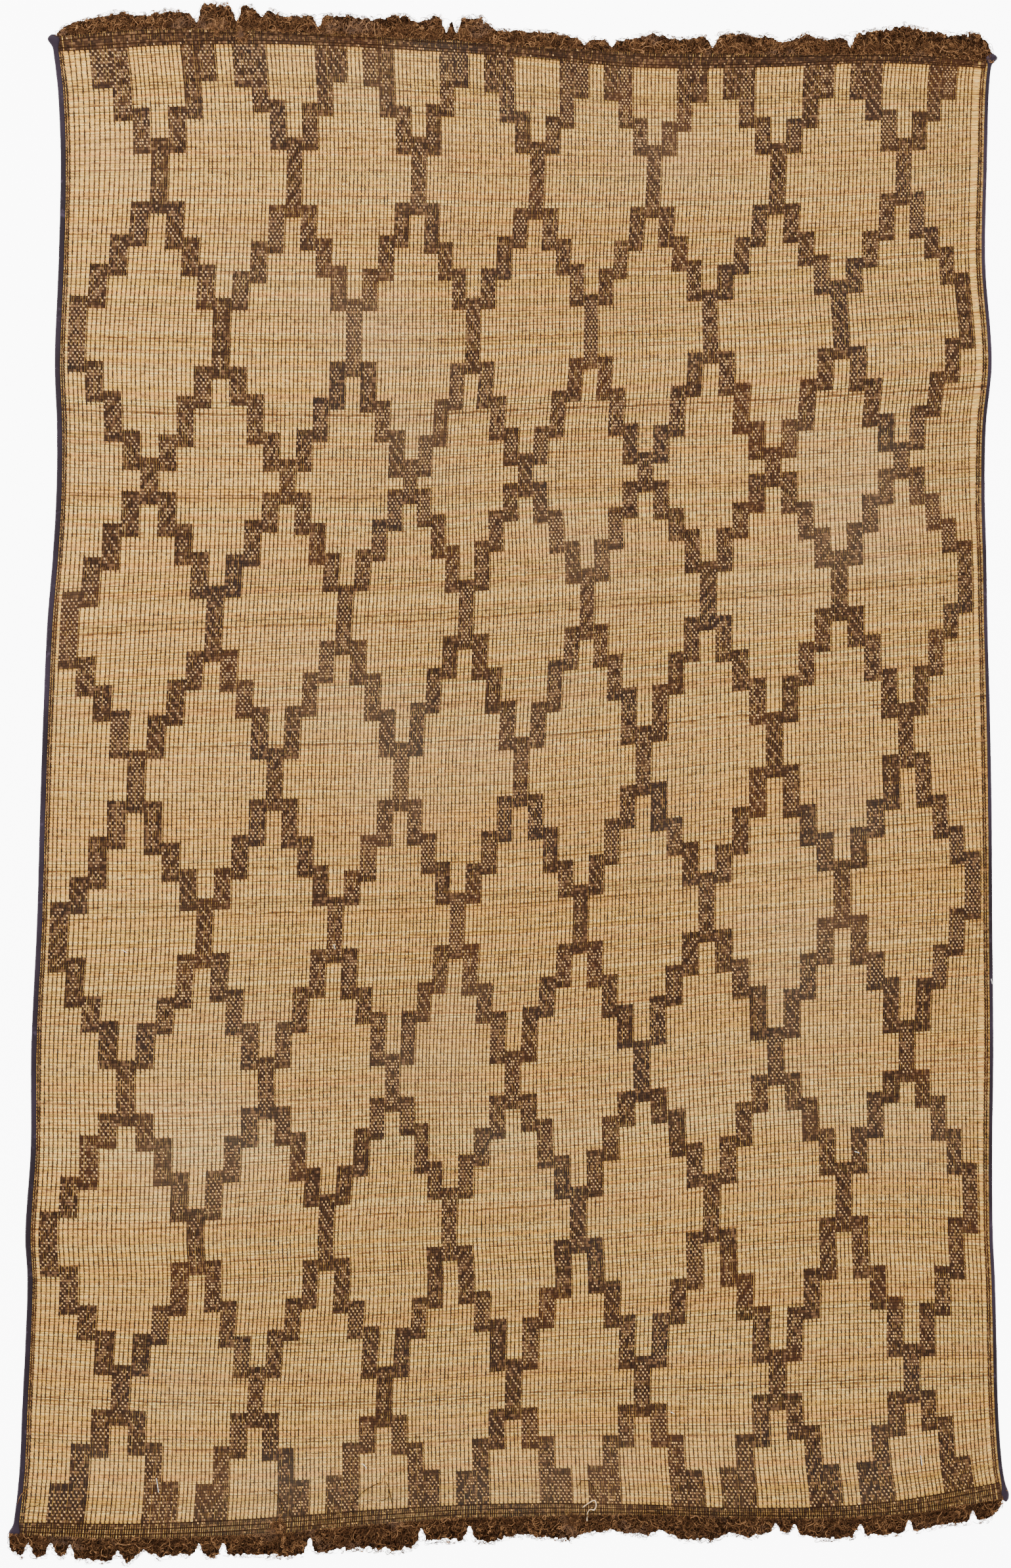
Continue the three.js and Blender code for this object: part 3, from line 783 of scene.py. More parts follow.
def make_yarn_material(name, stitch_width, lean):
    """Hand-spun umber yarn: one leaning stitch over each reed pair, with bare reed beside it."""
    material, tree, shader = open_material(name, 0.8, 0.12)
    across, along = weave_coordinates(tree)
    thread = across.floor()
    pair = along.floor()
    side = across.fract() - 0.5
    down = along.fract() - 0.5
    far = abs(down)
    areas = noise(tree, place_of(tree), 5.0, 2.0)
    # Painted shade: each stitch darkens towards its ends, where the yarn dips between reed pairs
    seam_shade = far.step(0.3, 0.5)
    colour = layered(
        random_of(tree, thread, pair).mix(YARN_DARK, YARN_BROWN),
        (random_of(tree, thread, 17.0) * 0.5, YARN_MIDDLE),
        (areas.step(0.52, 0.66) * 0.5, YARN_GREY),
        (areas.step(0.46, 0.34) * 0.5, YARN_RED),
        (random_of(tree, thread + 0.5, pair).step(0.72, 0.95) * 0.8, YARN_LIGHT),
        (seam_shade * 0.6, YARN_SEAM_SHADE),
    )
    grain = place_group(tree, fibre_grain, "Height", {
        "Vector": join_vector(tree, along * 9.0, across * 3.0),
    })
    size = random_of(tree, pair, thread) * 0.35 + 0.82
    rounded = (far * 2.0) ** 3.0 * -0.15 + 1.0
    half = rounded * (size * (stitch_width / 2))
    edge = grain * 0.7 + abs(down * -lean + side) / half
    yarn = edge.step(1.5, 1.15)
    face = place_group(tree, reed_face, "Colour", {"Along": along * 2.0})
    connect(yarn.mix(face, toned(tree, colour, 0.25, 0.3)), shader.inputs["Base Color"])
    add_bump(shader, seam_shade * -0.8 + (grain * 0.5 + yarn * 0.8), 0.0008, 0.8)
    return material


def make_dot_material():
    """A single reed pair left bare in the figure: clean cream, because feet never reached it."""
    material, tree, shader = open_material("bare_reed_dot", 0.65, 0.2)
    across, along = weave_coordinates(tree)
    thread = across.floor()
    pair = along.floor()
    off_pair = along.fract() - 0.5
    off_side = off_pair * -0.3 + (across.fract() - 0.5)
    oval = abs(off_side * 2.9) ** 3.0 + abs(off_pair * 3.1) ** 3.0
    oval = oval * (random_of(tree, pair, thread) * 0.6 + 0.8)
    colour = random_of(tree, thread, pair).mix(DOT_GOLD, DOT_CREAM)
    connect(oval.step(0.4, 1.1).mix(colour, YARN_MIDDLE), shader.inputs["Base Color"])
    return material


umber_yarn = make_yarn_material("umber_yarn", 1.5, 0.1)
single_warp = make_yarn_material("single_warp", 0.8, 0.24)
bare_reed_dot = make_dot_material()


def make_yarns():
    """Both halves of the yarns, each one connected net of ribbons over the reed pairs."""
    chance = np.random.default_rng(17)
    yarn_columns = np.arange(FIRST_YARN, LAST_YARN, 1 / YARNS_PER_COLUMN)
    count = len(yarn_columns)
    seams = np.arange(FIRST_PAIR, LAST_PAIR + 1, dtype=float)
    shares = smooth_through(COLUMN_SHARES[:, 0], COLUMN_SHARES[:, 1], yarn_columns)
    columns = np.round(yarn_columns).astype(int)
    fine = np.clip(
        ((yarn_columns - columns + 0.5) * YARNS_PER_COLUMN).astype(int), 0, YARNS_PER_COLUMN - 1
    )
    along = line_heights(seams, shares)
    filled, dots = weave_figure(columns, fine, seams[:-1], chance)
    heading_row = np.maximum(-1 - seams[:-1], seams[:-1] - REED_PAIRS).astype(int)
    heading = heading_row >= 0
    filled[heading, :] = True
    bare_chances = np.array(HEADING_BARE_CHANCES)[heading_row[heading]]
    dots[heading, :] = chance.random((heading.sum(), count)) < bare_chances[:, None]
    single = np.arange(count) % 2 == 0
    present = filled | single[None, :]
    edge_warps = np.isin(np.arange(count), [1, 2, count - 2, count - 1])
    present[:, edge_warps] = True
    present[:, 0] = heading

    centres = across_mat(along, shares)
    fade = np.clip((yarn_columns - FIRST_YARN) / DRIFT_FADE_COLUMNS, 0, 1)
    centres += column_drift(seams, yarn_columns) * fade
    centres[:, :3] = left_edge(along[:, :3]) + LEFT_WARPS
    centres[:, -2:] = right_edge(along[:, -2:]) - RIGHT_WARPS
    slow = wander(chance, count // 2 + 1, len(seams), YARN_WANDER_PAIRS, YARN_WANDER)
    centres += np.repeat(slow, 2, axis=0)[:count].T
    pitch = np.gradient(centres, axis=1)
    centres += chance.uniform(-YARN_JITTER, YARN_JITTER, centres.shape)
    beside = np.zeros((len(seams), count), dtype=bool)
    beside[:-1] |= filled
    beside[1:] |= filled
    thin = WARP_WIDTH + chance.uniform(-WARP_WIDTH_SPREAD, WARP_WIDTH_SPREAD, beside.shape)
    from_field = np.maximum(-seams, seams - REED_PAIRS)
    mean_share = np.select(
        [from_field <= 0, from_field > HEADING_PAIRS - 2, seams < 0],
        [FILLED_SHARE, HEADING_EDGE_SHARE, TOP_HEADING_SHARE], BOTTOM_HEADING_SHARE,
    )
    share_filled = mean_share[:, None] + chance.normal(0, FILLED_SPREAD / 2, beside.shape)
    share_filled += wander(chance, count, len(seams), LOOSE_PATCH_PAIRS, LOOSE_PATCH).T
    share_filled += wander(chance, len(seams), count, LOOSE_ROW_YARNS, LOOSE_ROW)
    share_filled = np.clip(share_filled, NARROWEST_SHARE, WIDEST_SHARE)
    width = np.where(beside, share_filled * pitch, thin)
    width[:, edge_warps] = np.maximum(width[:, edge_warps], EDGE_WARP_WIDTH)
    lift = CREST_HEIGHT + YARN_RISE + swell(seams, shares)
    seam_numbers = np.broadcast_to((seams + HEADING_PAIRS)[:, None], beside.shape)
    thread_numbers = np.broadcast_to(np.arange(count)[None, :], beside.shape)

    kinds = np.where(dots, 1, np.where(filled, 0, 2))
    halves = {"left_yarns": slice(0, count // 2), "right_yarns": slice(count // 2, count)}
    pieces = []
    for name, part in halves.items():
        pair_at, yarn_at = np.nonzero(present[:, part])
        middles = centres[:, part]
        number = np.arange(middles.size).reshape(middles.shape)
        upper = number[pair_at, yarn_at]
        lower = number[pair_at + 1, yarn_at]
        faces = np.stack([lower, lower + number.size, upper + number.size, upper], axis=-1)
        points = np.concatenate([
            placed(middles + turn * width[:, part] / 2, along[:, part], lift[:, part])
            for turn in (-1, 1)
        ])
        weave = np.concatenate([
            weave_map_of(thread_numbers[:, part] + margin, seam_numbers[:, part])
            for margin in (THREAD_MARGIN, 1 - THREAD_MARGIN)
        ])
        used = np.unique(faces)
        renumber = np.zeros(len(points), dtype=np.int64)
        renumber[used] = np.arange(len(used))
        piece = make_piece(
            name, points[used], renumber[faces], weave[used],
            [umber_yarn, bare_reed_dot, single_warp], kinds[:, part][pair_at, yarn_at],
        )
        pieces.append(piece)
    return pieces


left_yarns, right_yarns = make_yarns()


# The heading cords: four thicker twisted cords laid across each end of the cloth, over the
# warps, which lock the last reeds in place before the fringe.
CORD_WIDTH = 1.35
CORD_HEIGHT = 0.8
CORD_STATIONS = 460
CORD_WANDER = 0.5
CORD_WANDER_STATIONS = 14
CORD_UNEVEN = 0.2
CORD_UNEVEN_STATIONS = 5
CORD_END_SHARE = 0.006
PLIES_PER_STATION = 1.3
TOP_CORDS = [-5.8, -3.8, -1.2, -0.05]
BOTTOM_CORDS = [500.05, 501.8, 503.6, 505.7]
CORD_SECTION = [(-0.5, 0.0), (-0.32, 0.8), (0.0, 1.0), (0.32, 0.8), (0.5, 0.0)]


def make_cord_material():
    """Dark doubled cord with slanting plies and painted shade in the grooves between them."""
    material, tree, shader = open_material("heading_cord", 0.9, 0.05)
    across, along = weave_coordinates(tree)
    # Painted shade: the grooves between the plies are darkened in colour
    edge = abs((along + across).fract() - 0.5).step(0.25, 0.5)
    tone = random_of(tree, along.floor()).mix(paint(40, 22, 10), paint(68, 43, 24))
    connect(edge.mix(tone, paint(18, 9, 4)), shader.inputs["Base Color"])
    add_bump(shader, edge * -1.0 + 1.0, 0.0006, 0.8)
    return material


def make_cords(name, pair_numbers, seed):
    chance = np.random.default_rng(seed)
    pairs = np.array(pair_numbers)
    shares = np.linspace(CORD_END_SHARE, 1 - CORD_END_SHARE, CORD_STATIONS)
    along = line_heights(pairs, shares)
    along += wander(chance, len(pairs), CORD_STATIONS, CORD_WANDER_STATIONS, CORD_WANDER)
    across = across_mat(along, shares)
    base = CREST_HEIGHT + YARN_RISE + swell(pairs, shares)
    thick = 1 + wander(chance, len(pairs), CORD_STATIONS, CORD_UNEVEN_STATIONS, CORD_UNEVEN)
    section_side, section_lift = np.array(CORD_SECTION).T
    side = along[:, :, None] + section_side * CORD_WIDTH * thick[:, :, None]
    lift = base[:, :, None] + section_lift * CORD_HEIGHT * thick[:, :, None]
    turns = np.arange(CORD_STATIONS)[:, None] * PLIES_PER_STATION + np.zeros(side.shape)
    number = np.arange(side.size).reshape(side.shape)
    piece = make_piece(
        name, placed(across[:, :, None], side, lift), grid_faces(number, "adcb"),
        weave_map_of(section_side, turns), [heading_cord],
    )
    return piece


heading_cord = make_cord_material()
top_cords = make_cords("top_cords", TOP_CORDS, 31)
bottom_cords = make_cords("bottom_cords", BOTTOM_CORDS, 32)


# The bindings: one narrow aubergine strip of satin cloth folded over the reed ends down each
# side, with its spare length tucked into a lump at each corner.
KNOT_RISE = 2.4
END_ROUNDING = 9.0
SECTION_MIDDLE = (4.6, 2.6)
LEFT_OVERHANGS = (3.0, 3.0)
RIGHT_OVERHANGS = (13.0, 4.0)
BINDING_STATIONS = 760

# The lump at each corner, top then bottom: how far it bulges outwards, how far the hem spreads
# inwards, its distance from the strip's end, and its half length
LEFT_LUMPS = ((8.0, 4.5, 9.5, 9.5), (7.0, 4.0, 9.0, 10.0))
RIGHT_LUMPS = ((9.0, 6.0, 9.0, 8.0), (4.0, 3.0, 15.0, 13.0))
LEFT_WIDTH_SHARE = 1.0
RIGHT_WIDTH_SHARE = 0.68
BINDING_PUCKER = 0.35
BINDING_CREASE = 1.4
END_THINNEST = 0.3

# Start and width of the part of the hem that spreads, and how far folds push it sideways and up
HEM_SPREAD = (2, 6)
FOLDS_START = 0.5
FOLD_SHARES = (0.5, 0.6)
LOWEST_BINDING = 0.1

# Section from the lower hem round the reed ends to the upper hem: inset from the edge, height,
# share of a corner's bulge, share of its rise
BINDING_SECTION = np.array([
    (9.0, 0.1, 0.0, 0.0), (4.5, 0.1, 0.3, 0.0), (1.6, 0.15, 0.8, 0.0), (0.5, 0.7, 1.0, 0.0),
    (0.05, 1.9, 1.0, 0.1), (0.3, 3.1, 1.0, 0.4), (1.1, 4.2, 0.8, 0.8), (2.4, 5.1, 0.5, 1.0),
    (4.4, 5.5, 0.2, 1.0), (7.2, 5.6, 0.0, 1.0), (9.6, 5.5, 0.0, 0.7), (10.8, 4.9, 0.0, 0.4),
    (9.4, 3.15, 0.0, 0.0),
])


def make_binding_material():
    """Worn aubergine satin: dark with a mauve bloom, fine ribs and greyed high spots."""
    material, tree, shader = open_material("aubergine_satin", 0.6, 0.12)
    along = weave_coordinates(tree)[1]
    place = place_of(tree)
    bloom = noise(tree, place, 4.0, 5.0).step(0.4, 0.7)
    scuffs = noise(tree, place, 60.0, 4.0).step(0.6, 0.8)
    colour = scuffs.mix(bloom.mix(paint(30, 21, 28), paint(48, 37, 50)), paint(68, 56, 70))
    connect(colour, shader.inputs["Base Color"])
    grain = place_group(tree, fibre_grain, "Height", {"Vector": place, "Scale": 400.0})
    add_bump(shader, (along * 6.0).math("PINGPONG", 0.5) + grain, 0.0002, 0.6)
    return material


def cap_faces(number, turn):
    """Faces that close both ends of a tube, from its grid of point numbers, ring by ring."""
    caps = []
    for ring, way in ((number[0], turn), (number[-1], -turn)):
        for step in range(len(ring) // 2 - 1):
            corners = [ring[step], ring[step + 1], ring[-step - 2], ring[-step - 1]]
            caps.append(corners[::way])
    return np.array(caps)


def make_binding(name, share, edge, inward, overhangs, corner_lumps, width_share, seed):
    chance = np.random.default_rng(seed)
    ends = line_heights(ENDS_OF_MAT, np.array([share]))
    top = ends[0, 0] + overhangs[0]
    bottom = ends[1, 0] - overhangs[1]
    along = np.linspace(top, bottom, BINDING_STATIONS)
    bulges = np.zeros(BINDING_STATIONS)
    spreads = np.zeros(BINDING_STATIONS)
    knot = np.zeros(BINDING_STATIONS)
    for from_end, (bulge, spread, middle, half_length) in zip(
            (top - along, along - bottom), corner_lumps):
        lump = np.exp(-((from_end - middle) / half_length) ** 2)
        bulges += bulge * lump
        spreads += spread * lump
        knot += lump
    nearest_end = np.clip(np.minimum(top - along, along - bottom) / END_ROUNDING, 0, 1)
    rounding = END_THINNEST + (1 - END_THINNEST) * np.sqrt(1 - (1 - nearest_end) ** 2)
    pucker = wander(chance, len(BINDING_SECTION), BINDING_STATIONS, 3, BINDING_PUCKER)
    creases = wander(chance, len(BINDING_SECTION), BINDING_STATIONS, 2, BINDING_CREASE) * knot
    side = []
    lift = []
    for number, (inset, height, outer, rise) in enumerate(BINDING_SECTION):
        off_floor = height > FOLDS_START and 0 < number < len(BINDING_SECTION) - 1
        fold = pucker[number] if off_floor else 0
        spread = spreads * np.clip((inset - HEM_SPREAD[0]) / HEM_SPREAD[1], 0, 1)
        inset = inset * width_share + FOLD_SHARES[0] * fold + spread
        inset = SECTION_MIDDLE[0] + (inset - SECTION_MIDDLE[0]) * rounding - outer * bulges
        side.append(edge(along) + inward * inset)
        raised = height + rise * KNOT_RISE * knot + FOLD_SHARES[1] * fold
        raised = raised + creases[number] * (rise > 0.5)
        raised = SECTION_MIDDLE[1] + (raised - SECTION_MIDDLE[1]) * rounding
        lift.append(np.maximum(raised, LOWEST_BINDING))
    side = np.array(side).T
    lift = np.array(lift).T
    number = np.arange(side.size).reshape(side.shape)
    faces = grid_faces(number, "abcd" if inward > 0 else "dcba")
    faces = np.concatenate([faces, cap_faces(number, inward)])
    weave = weave_map_of(np.linspace(0, 1, side.shape[1]), (along / 4)[:, None])
    points = placed(side, along[:, None], lift)
    piece = make_piece(name, points, faces, weave, [aubergine_satin])
    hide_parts(name.replace("_satin", ""))
    return piece


aubergine_satin = make_binding_material()
left_binding = make_binding(
    "left_binding_satin", 0.0, left_edge, 1, LEFT_OVERHANGS, LEFT_LUMPS, LEFT_WIDTH_SHARE, 41
)
right_binding = make_binding(
    "right_binding_satin", 1.0, right_edge, -1, RIGHT_OVERHANGS, RIGHT_LUMPS,
    RIGHT_WIDTH_SHARE, 42,
)


# The fringes: unspun warp ends beyond each heading, shrunk into frizzy brown curls. A thin mat of
# broken fibre lies underneath, dark with painted shade for the hollows between the curls, and
# single curled hairs are piled and tangled over it.
MASS_SPACING = 1.5
MASS_ROWS = 10
MASS_SHARE = 0.86
END_TAPER = 26.0
END_REACH_SHARE = 0.1
MASS_HEIGHT = 4.6
MASS_OVERLAP = 3.0
MASS_ROOT_HEIGHT = 6.6

# The mass in detail: its ragged and frayed edge, its lowest and highest bumps, the start and
# length of its climb onto the cloth, the drops at its root, and the place and height of its foot
MASS_RAGGED = 0.08
MASS_FRAYED = 0.025
MASS_BUMPS = (0.25, 1.0)
MASS_FLOOR_GAP = 0.5
MASS_CLIMB = (0.5, 3.0)
MASS_ROOT_DEPTHS = (0.9, 1.9)
MASS_FOOT = (0.6, 0.15)
MASS_LEAN = 0.8

# The curled hairs: their number and section, how they turn, how they lie and how they wave. A
# pair is the range from lowest to highest, but that of the climb is its start and its length.
STRANDS_PER_END = 5200
STRAND_STATIONS = 15
STRAND_STEP = 1.75
STRAND_WIDTH = 0.9
STRAND_ROLL = 0.9
STRAND_END_SHARES = (0.5, 0.25)
STRAND_SIDES = (0.2, 0.8)
LOWEST_STRAND = 0.1
FIRST_TURN = 0.6
TURN_KEPT = 0.78
TURN_SPREAD = 0.5
STRAND_OVERLAP = 5.0
COMBED_SHARE = 0.35
COMBED_LEAN = 0.4
COMBED_CURL = 0.3
LOOSE_LEAN = 2.4
LOOSE_CURLS = (0.7, 1.5)
DEEPEST_FRINGE = 48
STRAND_HEIGHTS = (1.6, 7.6)
STRAND_WIDTHS = (0.55, 1.5)
STRAND_TWIST = 0.6
WAVE_HEIGHTS = (0.3, 1.6)
WAVE_TURNS = (4, 14)
WAVE_STARTS = (0, 6.3)
TIP_DROP = 0.55
LOWEST_CURL = 0.7
OVERSHOOT = 1.2
LIMIT_MARGIN = 1
SLOWING_LENGTH = 5
TURNED_BACK = -0.6
CURL_CLIMB = (0.5, 4)
PILED_SHARE = 0.4
LOWEST_ON_CLOTH = 6.3
HIGHEST_STRAND = 9.4

# How far the fringe reaches past each heading: place across in millimetres, reach
TOP_TUFTS = np.array([
    (-845, 8), (-830, 16), (-793, 22), (-729, 32), (-692, 22), (-653, 27), (-631, 32),
    (-591, 24), (-569, 45), (-527, 45), (-478, 42), (-462, 22), (-447, 36), (-410, 26),
    (-322, 33), (-291, 32), (-251, 28), (-227, 36), (-193, 40), (-169, 26), (-138, 44),
    (-86, 44), (-55, 44), (-24, 22), (6, 22), (80, 24), (122, 16), (159, 17), (214, 18),
    (269, 34), (315, 22), (367, 29), (429, 38), (459, 27), (480, 32), (508, 17), (560, 37),
    (590, 23), (618, 29), (675, 40), (710, 47), (733, 53), (768, 45), (792, 42), (827, 39),
    (851, 45), (893, 47), (904, 33),
], dtype=float)
BOTTOM_TUFTS = np.array([
    (-934, 54), (-918, 42), (-888, 38), (-846, 33), (-812, 40), (-741, 40), (-729, 18),
    (-714, 47), (-680, 17), (-653, 37), (-612, 29), (-567, 36), (-506, 34), (-469, 36),
    (-422, 43), (-340, 39), (-306, 39), (-263, 42), (-208, 54), (-171, 45), (-141, 37),
    (-37, 45), (9, 32), (67, 37), (116, 44), (142, 33), (184, 26), (260, 37), (278, 24),
    (324, 42), (376, 43), (419, 27), (447, 36), (480, 26), (520, 24), (588, 37), (680, 33),
    (731, 34), (762, 32), (817, 27), (857, 33), (894, 33), (921, 24),
], dtype=float)

# Places of the narrow notches, where a few warp ends have worn away
TOP_NOTCHES = np.array([-582, -508, -355, -116, -98, 141, 192, 380, 637], dtype=float)
BOTTOM_NOTCHES = np.array(
    [-896, -854, -818, -578, -533, -371, -163, -73, 498, 533, 655, 746, 866], dtype=float
)
NOTCH_HALF_WIDTH = 7.0
NOTCH_DEPTH = 0.72
TUFT_GROWTH = 3.5
GUESSED_LEFT = -875
GUESSED_WIDTH = 1775
ENDS = {1: (TOP_TUFTS, TOP_NOTCHES), 2: (BOTTOM_TUFTS, BOTTOM_NOTCHES)}

HAIR_DARK = paint(28, 14, 6)
HAIR_BROWN = paint(82, 52, 30)
HAIR_TAN = paint(150, 108, 70)
HAIR_GREY = paint(104, 82, 68)
# Near-black painted shade for the hollows in the fringe mass
MASS_HOLLOW_SHADE = paint(20, 10, 4)
MASS_BROWN = paint(68, 42, 23)
MASS_TAN = paint(116, 82, 54)


def make_hair_material():
    """Dry curled fibre: most hairs brown, some near black, some tan or grey where worn."""
    material, tree, shader = open_material("curled_hair", 0.8, 0.08)
    across, along = weave_coordinates(tree)
    hair = across.floor()
    tufts = noise(tree, place_of(tree), 16.0, 3.0)
    colour = layered(
        random_of(tree, hair, 5.0).mix(HAIR_DARK, HAIR_BROWN),
        (random_of(tree, hair, 9.0).step(0.72, 0.98), HAIR_TAN),
        (tufts.step(0.56, 0.66) * 0.35, HAIR_GREY),
        (along.step(0.4, 1.0) * 0.3, HAIR_TAN),
    )
    connect(colour, shader.inputs["Base Color"])
    return material


def make_mass_material():
    """The broken fibre under the curls: painted near-black shade in the hollows between wavy brown
    and tan hairs.
    """
    material, tree, shader = open_material("fibre_and_hollow_shade", 0.95, 0.04)
    place = place_of(tree)
    stretched = add_node(
        tree, "ShaderNodeMapping", None, {"Vector": place, "Scale": (700.0, 230.0, 300.0)}
    ).outputs["Vector"]
    hairs = noise(tree, stretched, 1.0, 2.0, Distortion=1.6)
    grain = place_group(tree, fibre_grain, "Mask", {"Vector": place, "Scale": 900.0})
    # Painted shade: the near-black between the hairs and along the fine grain stands for the
    # hollows of the fringe
    colour = layered(
        hairs.step(0.42, 0.6).mix(MASS_HOLLOW_SHADE, MASS_BROWN),
        (hairs.step(0.6, 0.7), MASS_TAN),
        (grain * 0.4, MASS_HOLLOW_SHADE),
    )
    connect(colour, shader.inputs["Base Color"])
    add_bump(shader, hairs, 0.003, 1.0)
    return material


curled_hair = make_hair_material()
fibre_and_hollow_shade = make_mass_material()


def closed_rings(number):
    """A grid of point numbers whose lines are rings, each with its first point repeated."""
    return np.concatenate([number, number[..., :1]], axis=-1)


def frame_along(paths):
    """Unit vectors across and above each point of strands held as (strand, point, xyz)."""
    ahead = np.gradient(paths, axis=1)
    ahead /= np.linalg.norm(ahead, axis=2, keepdims=True) + 1e-9
    across = np.cross(ahead, np.array([0.0, 0.0, 1.0]))
    across /= np.linalg.norm(across, axis=2, keepdims=True) + 1e-6
    return across, np.cross(across, ahead)


def make_strands(name, paths, widths, rolls, material):
    """Flat fibres along paths in millimetres, each rolled by its own angle, thin at the tips."""
    strands, stations, _ = paths.shape
    across, above = frame_along(paths)
    taper = np.ones(stations)
    taper[0], taper[-1] = STRAND_END_SHARES
    turn = rolls[:, :, None]
    half = (across * np.cos(turn) + above * np.sin(turn)) * (
        widths[:, None, None] * taper[None, :, None] / 2)
    points = np.stack([paths - half, paths + half], axis=2)
    points[..., 2] = np.maximum(points[..., 2], LOWEST_STRAND)
    number = np.arange(strands * stations * 2).reshape(strands, stations, 2)
    weave = weave_map_of(
        np.arange(strands)[:, None, None] + np.array(STRAND_SIDES),
        np.linspace(0, 1, stations)[:, None],
    )
    points = placed(*points.reshape(-1, 3).T)
    return make_piece(name, points, grid_faces(number, "abcd"), weave, [material])


def fringe_reach(end_column, sides):
    """How far the fringe reaches past its heading at places across the mat."""
    tufts, notches = ENDS[end_column]
    reach = np.interp(sides, tufts[:, 0], tufts[:, 1]) + TUFT_GROWTH
    for notch in notches:
        reach = reach * (1 - NOTCH_DEPTH * np.exp(-((sides - notch) / NOTCH_HALF_WIDTH) ** 2))
    from_end = np.minimum(sides - tufts[0, 0], tufts[-1, 0] - sides)
    shrunk = np.sqrt(np.clip(from_end / END_TAPER, 0, 1))
    return reach * (END_REACH_SHARE + (1 - END_REACH_SHARE) * shrunk)


def heading_end(end_column, sides):
    """Height of a heading's outer edge at places across the mat."""
    shares = (sides - GUESSED_LEFT) / GUESSED_WIDTH
    for _ in range(4):
        heights = smooth_through(END_EDGES[:, 0], END_EDGES[:, end_column], np.clip(shares, 0, 1))
        shares = (sides - left_edge(heights)) / (right_edge(heights) - left_edge(heights))
    return heights


def make_mass(name, end_column, outward, seed):
    """A ragged closed mat along one end, with a bumpy top and a flat foot on the floor."""
    chance = np.random.default_rng(seed)
    tufts = ENDS[end_column][0]
    sides = np.arange(tufts[0, 0] + 2, tufts[-1, 0] - 1, MASS_SPACING)
    count = len(sides)
    ends = heading_end(end_column, sides)
    ragged = wander(chance, 1, count, 4, MASS_RAGGED)[0]
    ragged += chance.uniform(-MASS_FRAYED, MASS_FRAYED, count)
    reach = fringe_reach(end_column, sides) * (MASS_SHARE + ragged)
    down = np.linspace(0, 1, MASS_ROWS)
    length = -MASS_OVERLAP + (reach + MASS_OVERLAP)[:, None] * down
    bumps = chance.uniform(*MASS_BUMPS, (count, MASS_ROWS))
    bumps[1:-1] = 0.25 * bumps[:-2] + 0.5 * bumps[1:-1] + 0.25 * bumps[2:]
    lift = MASS_FLOOR_GAP + MASS_HEIGHT * bumps * np.sqrt(1 - down ** 2)
    on_cloth = np.clip(1 - (length + MASS_CLIMB[0]) / MASS_CLIMB[1], 0, 1)
    lift = lift * (1 - on_cloth) + MASS_ROOT_HEIGHT * on_cloth
    lift[:, 0] = MASS_ROOT_HEIGHT - MASS_ROOT_DEPTHS[0]
    foot_length = np.tile([MASS_FOOT[0], -MASS_OVERLAP], (count, 1))
    foot_lift = np.tile([MASS_FOOT[1], MASS_ROOT_HEIGHT - MASS_ROOT_DEPTHS[1]], (count, 1))
    foot_length[:, 0] = np.minimum(foot_length[:, 0], length[:, -1] - 0.1)
    length = np.concatenate([length, foot_length], axis=1)
    lift = np.concatenate([lift, foot_lift], axis=1)
    lean = chance.uniform(-MASS_LEAN, MASS_LEAN, count)[:, None] * np.clip(length / 10, 0, 3)
    points = placed(sides[:, None] + lean, ends[:, None] + outward * length, lift)
    number = np.arange(lift.size).reshape(lift.shape)
    faces = grid_faces(closed_rings(number), "adcb")[:, ::outward]
    faces = np.concatenate([faces, cap_faces(number, outward)])
    piece = make_piece(name, points, faces, points[:, :2] * 10, [fibre_and_hollow_shade])
    return piece


def curl_paths(chance, starts, headings, curling, room):
    """Walks of even steps that keep turning: places across and outwards, kept inside a limit."""
    count = len(starts)
    turning = chance.choice([-1, 1], count) * curling * FIRST_TURN
    walk = np.zeros((count, STRAND_STATIONS, 2))
    place = starts.copy()
    for station in range(STRAND_STATIONS):
        walk[:, station] = place
        turning = TURN_KEPT * turning + chance.normal(0, TURN_SPREAD, count) * curling
        headings = headings + turning
        step = STRAND_STEP * np.stack([np.sin(headings), np.cos(headings)], axis=1)
        place = place + room(place, step)
    return walk


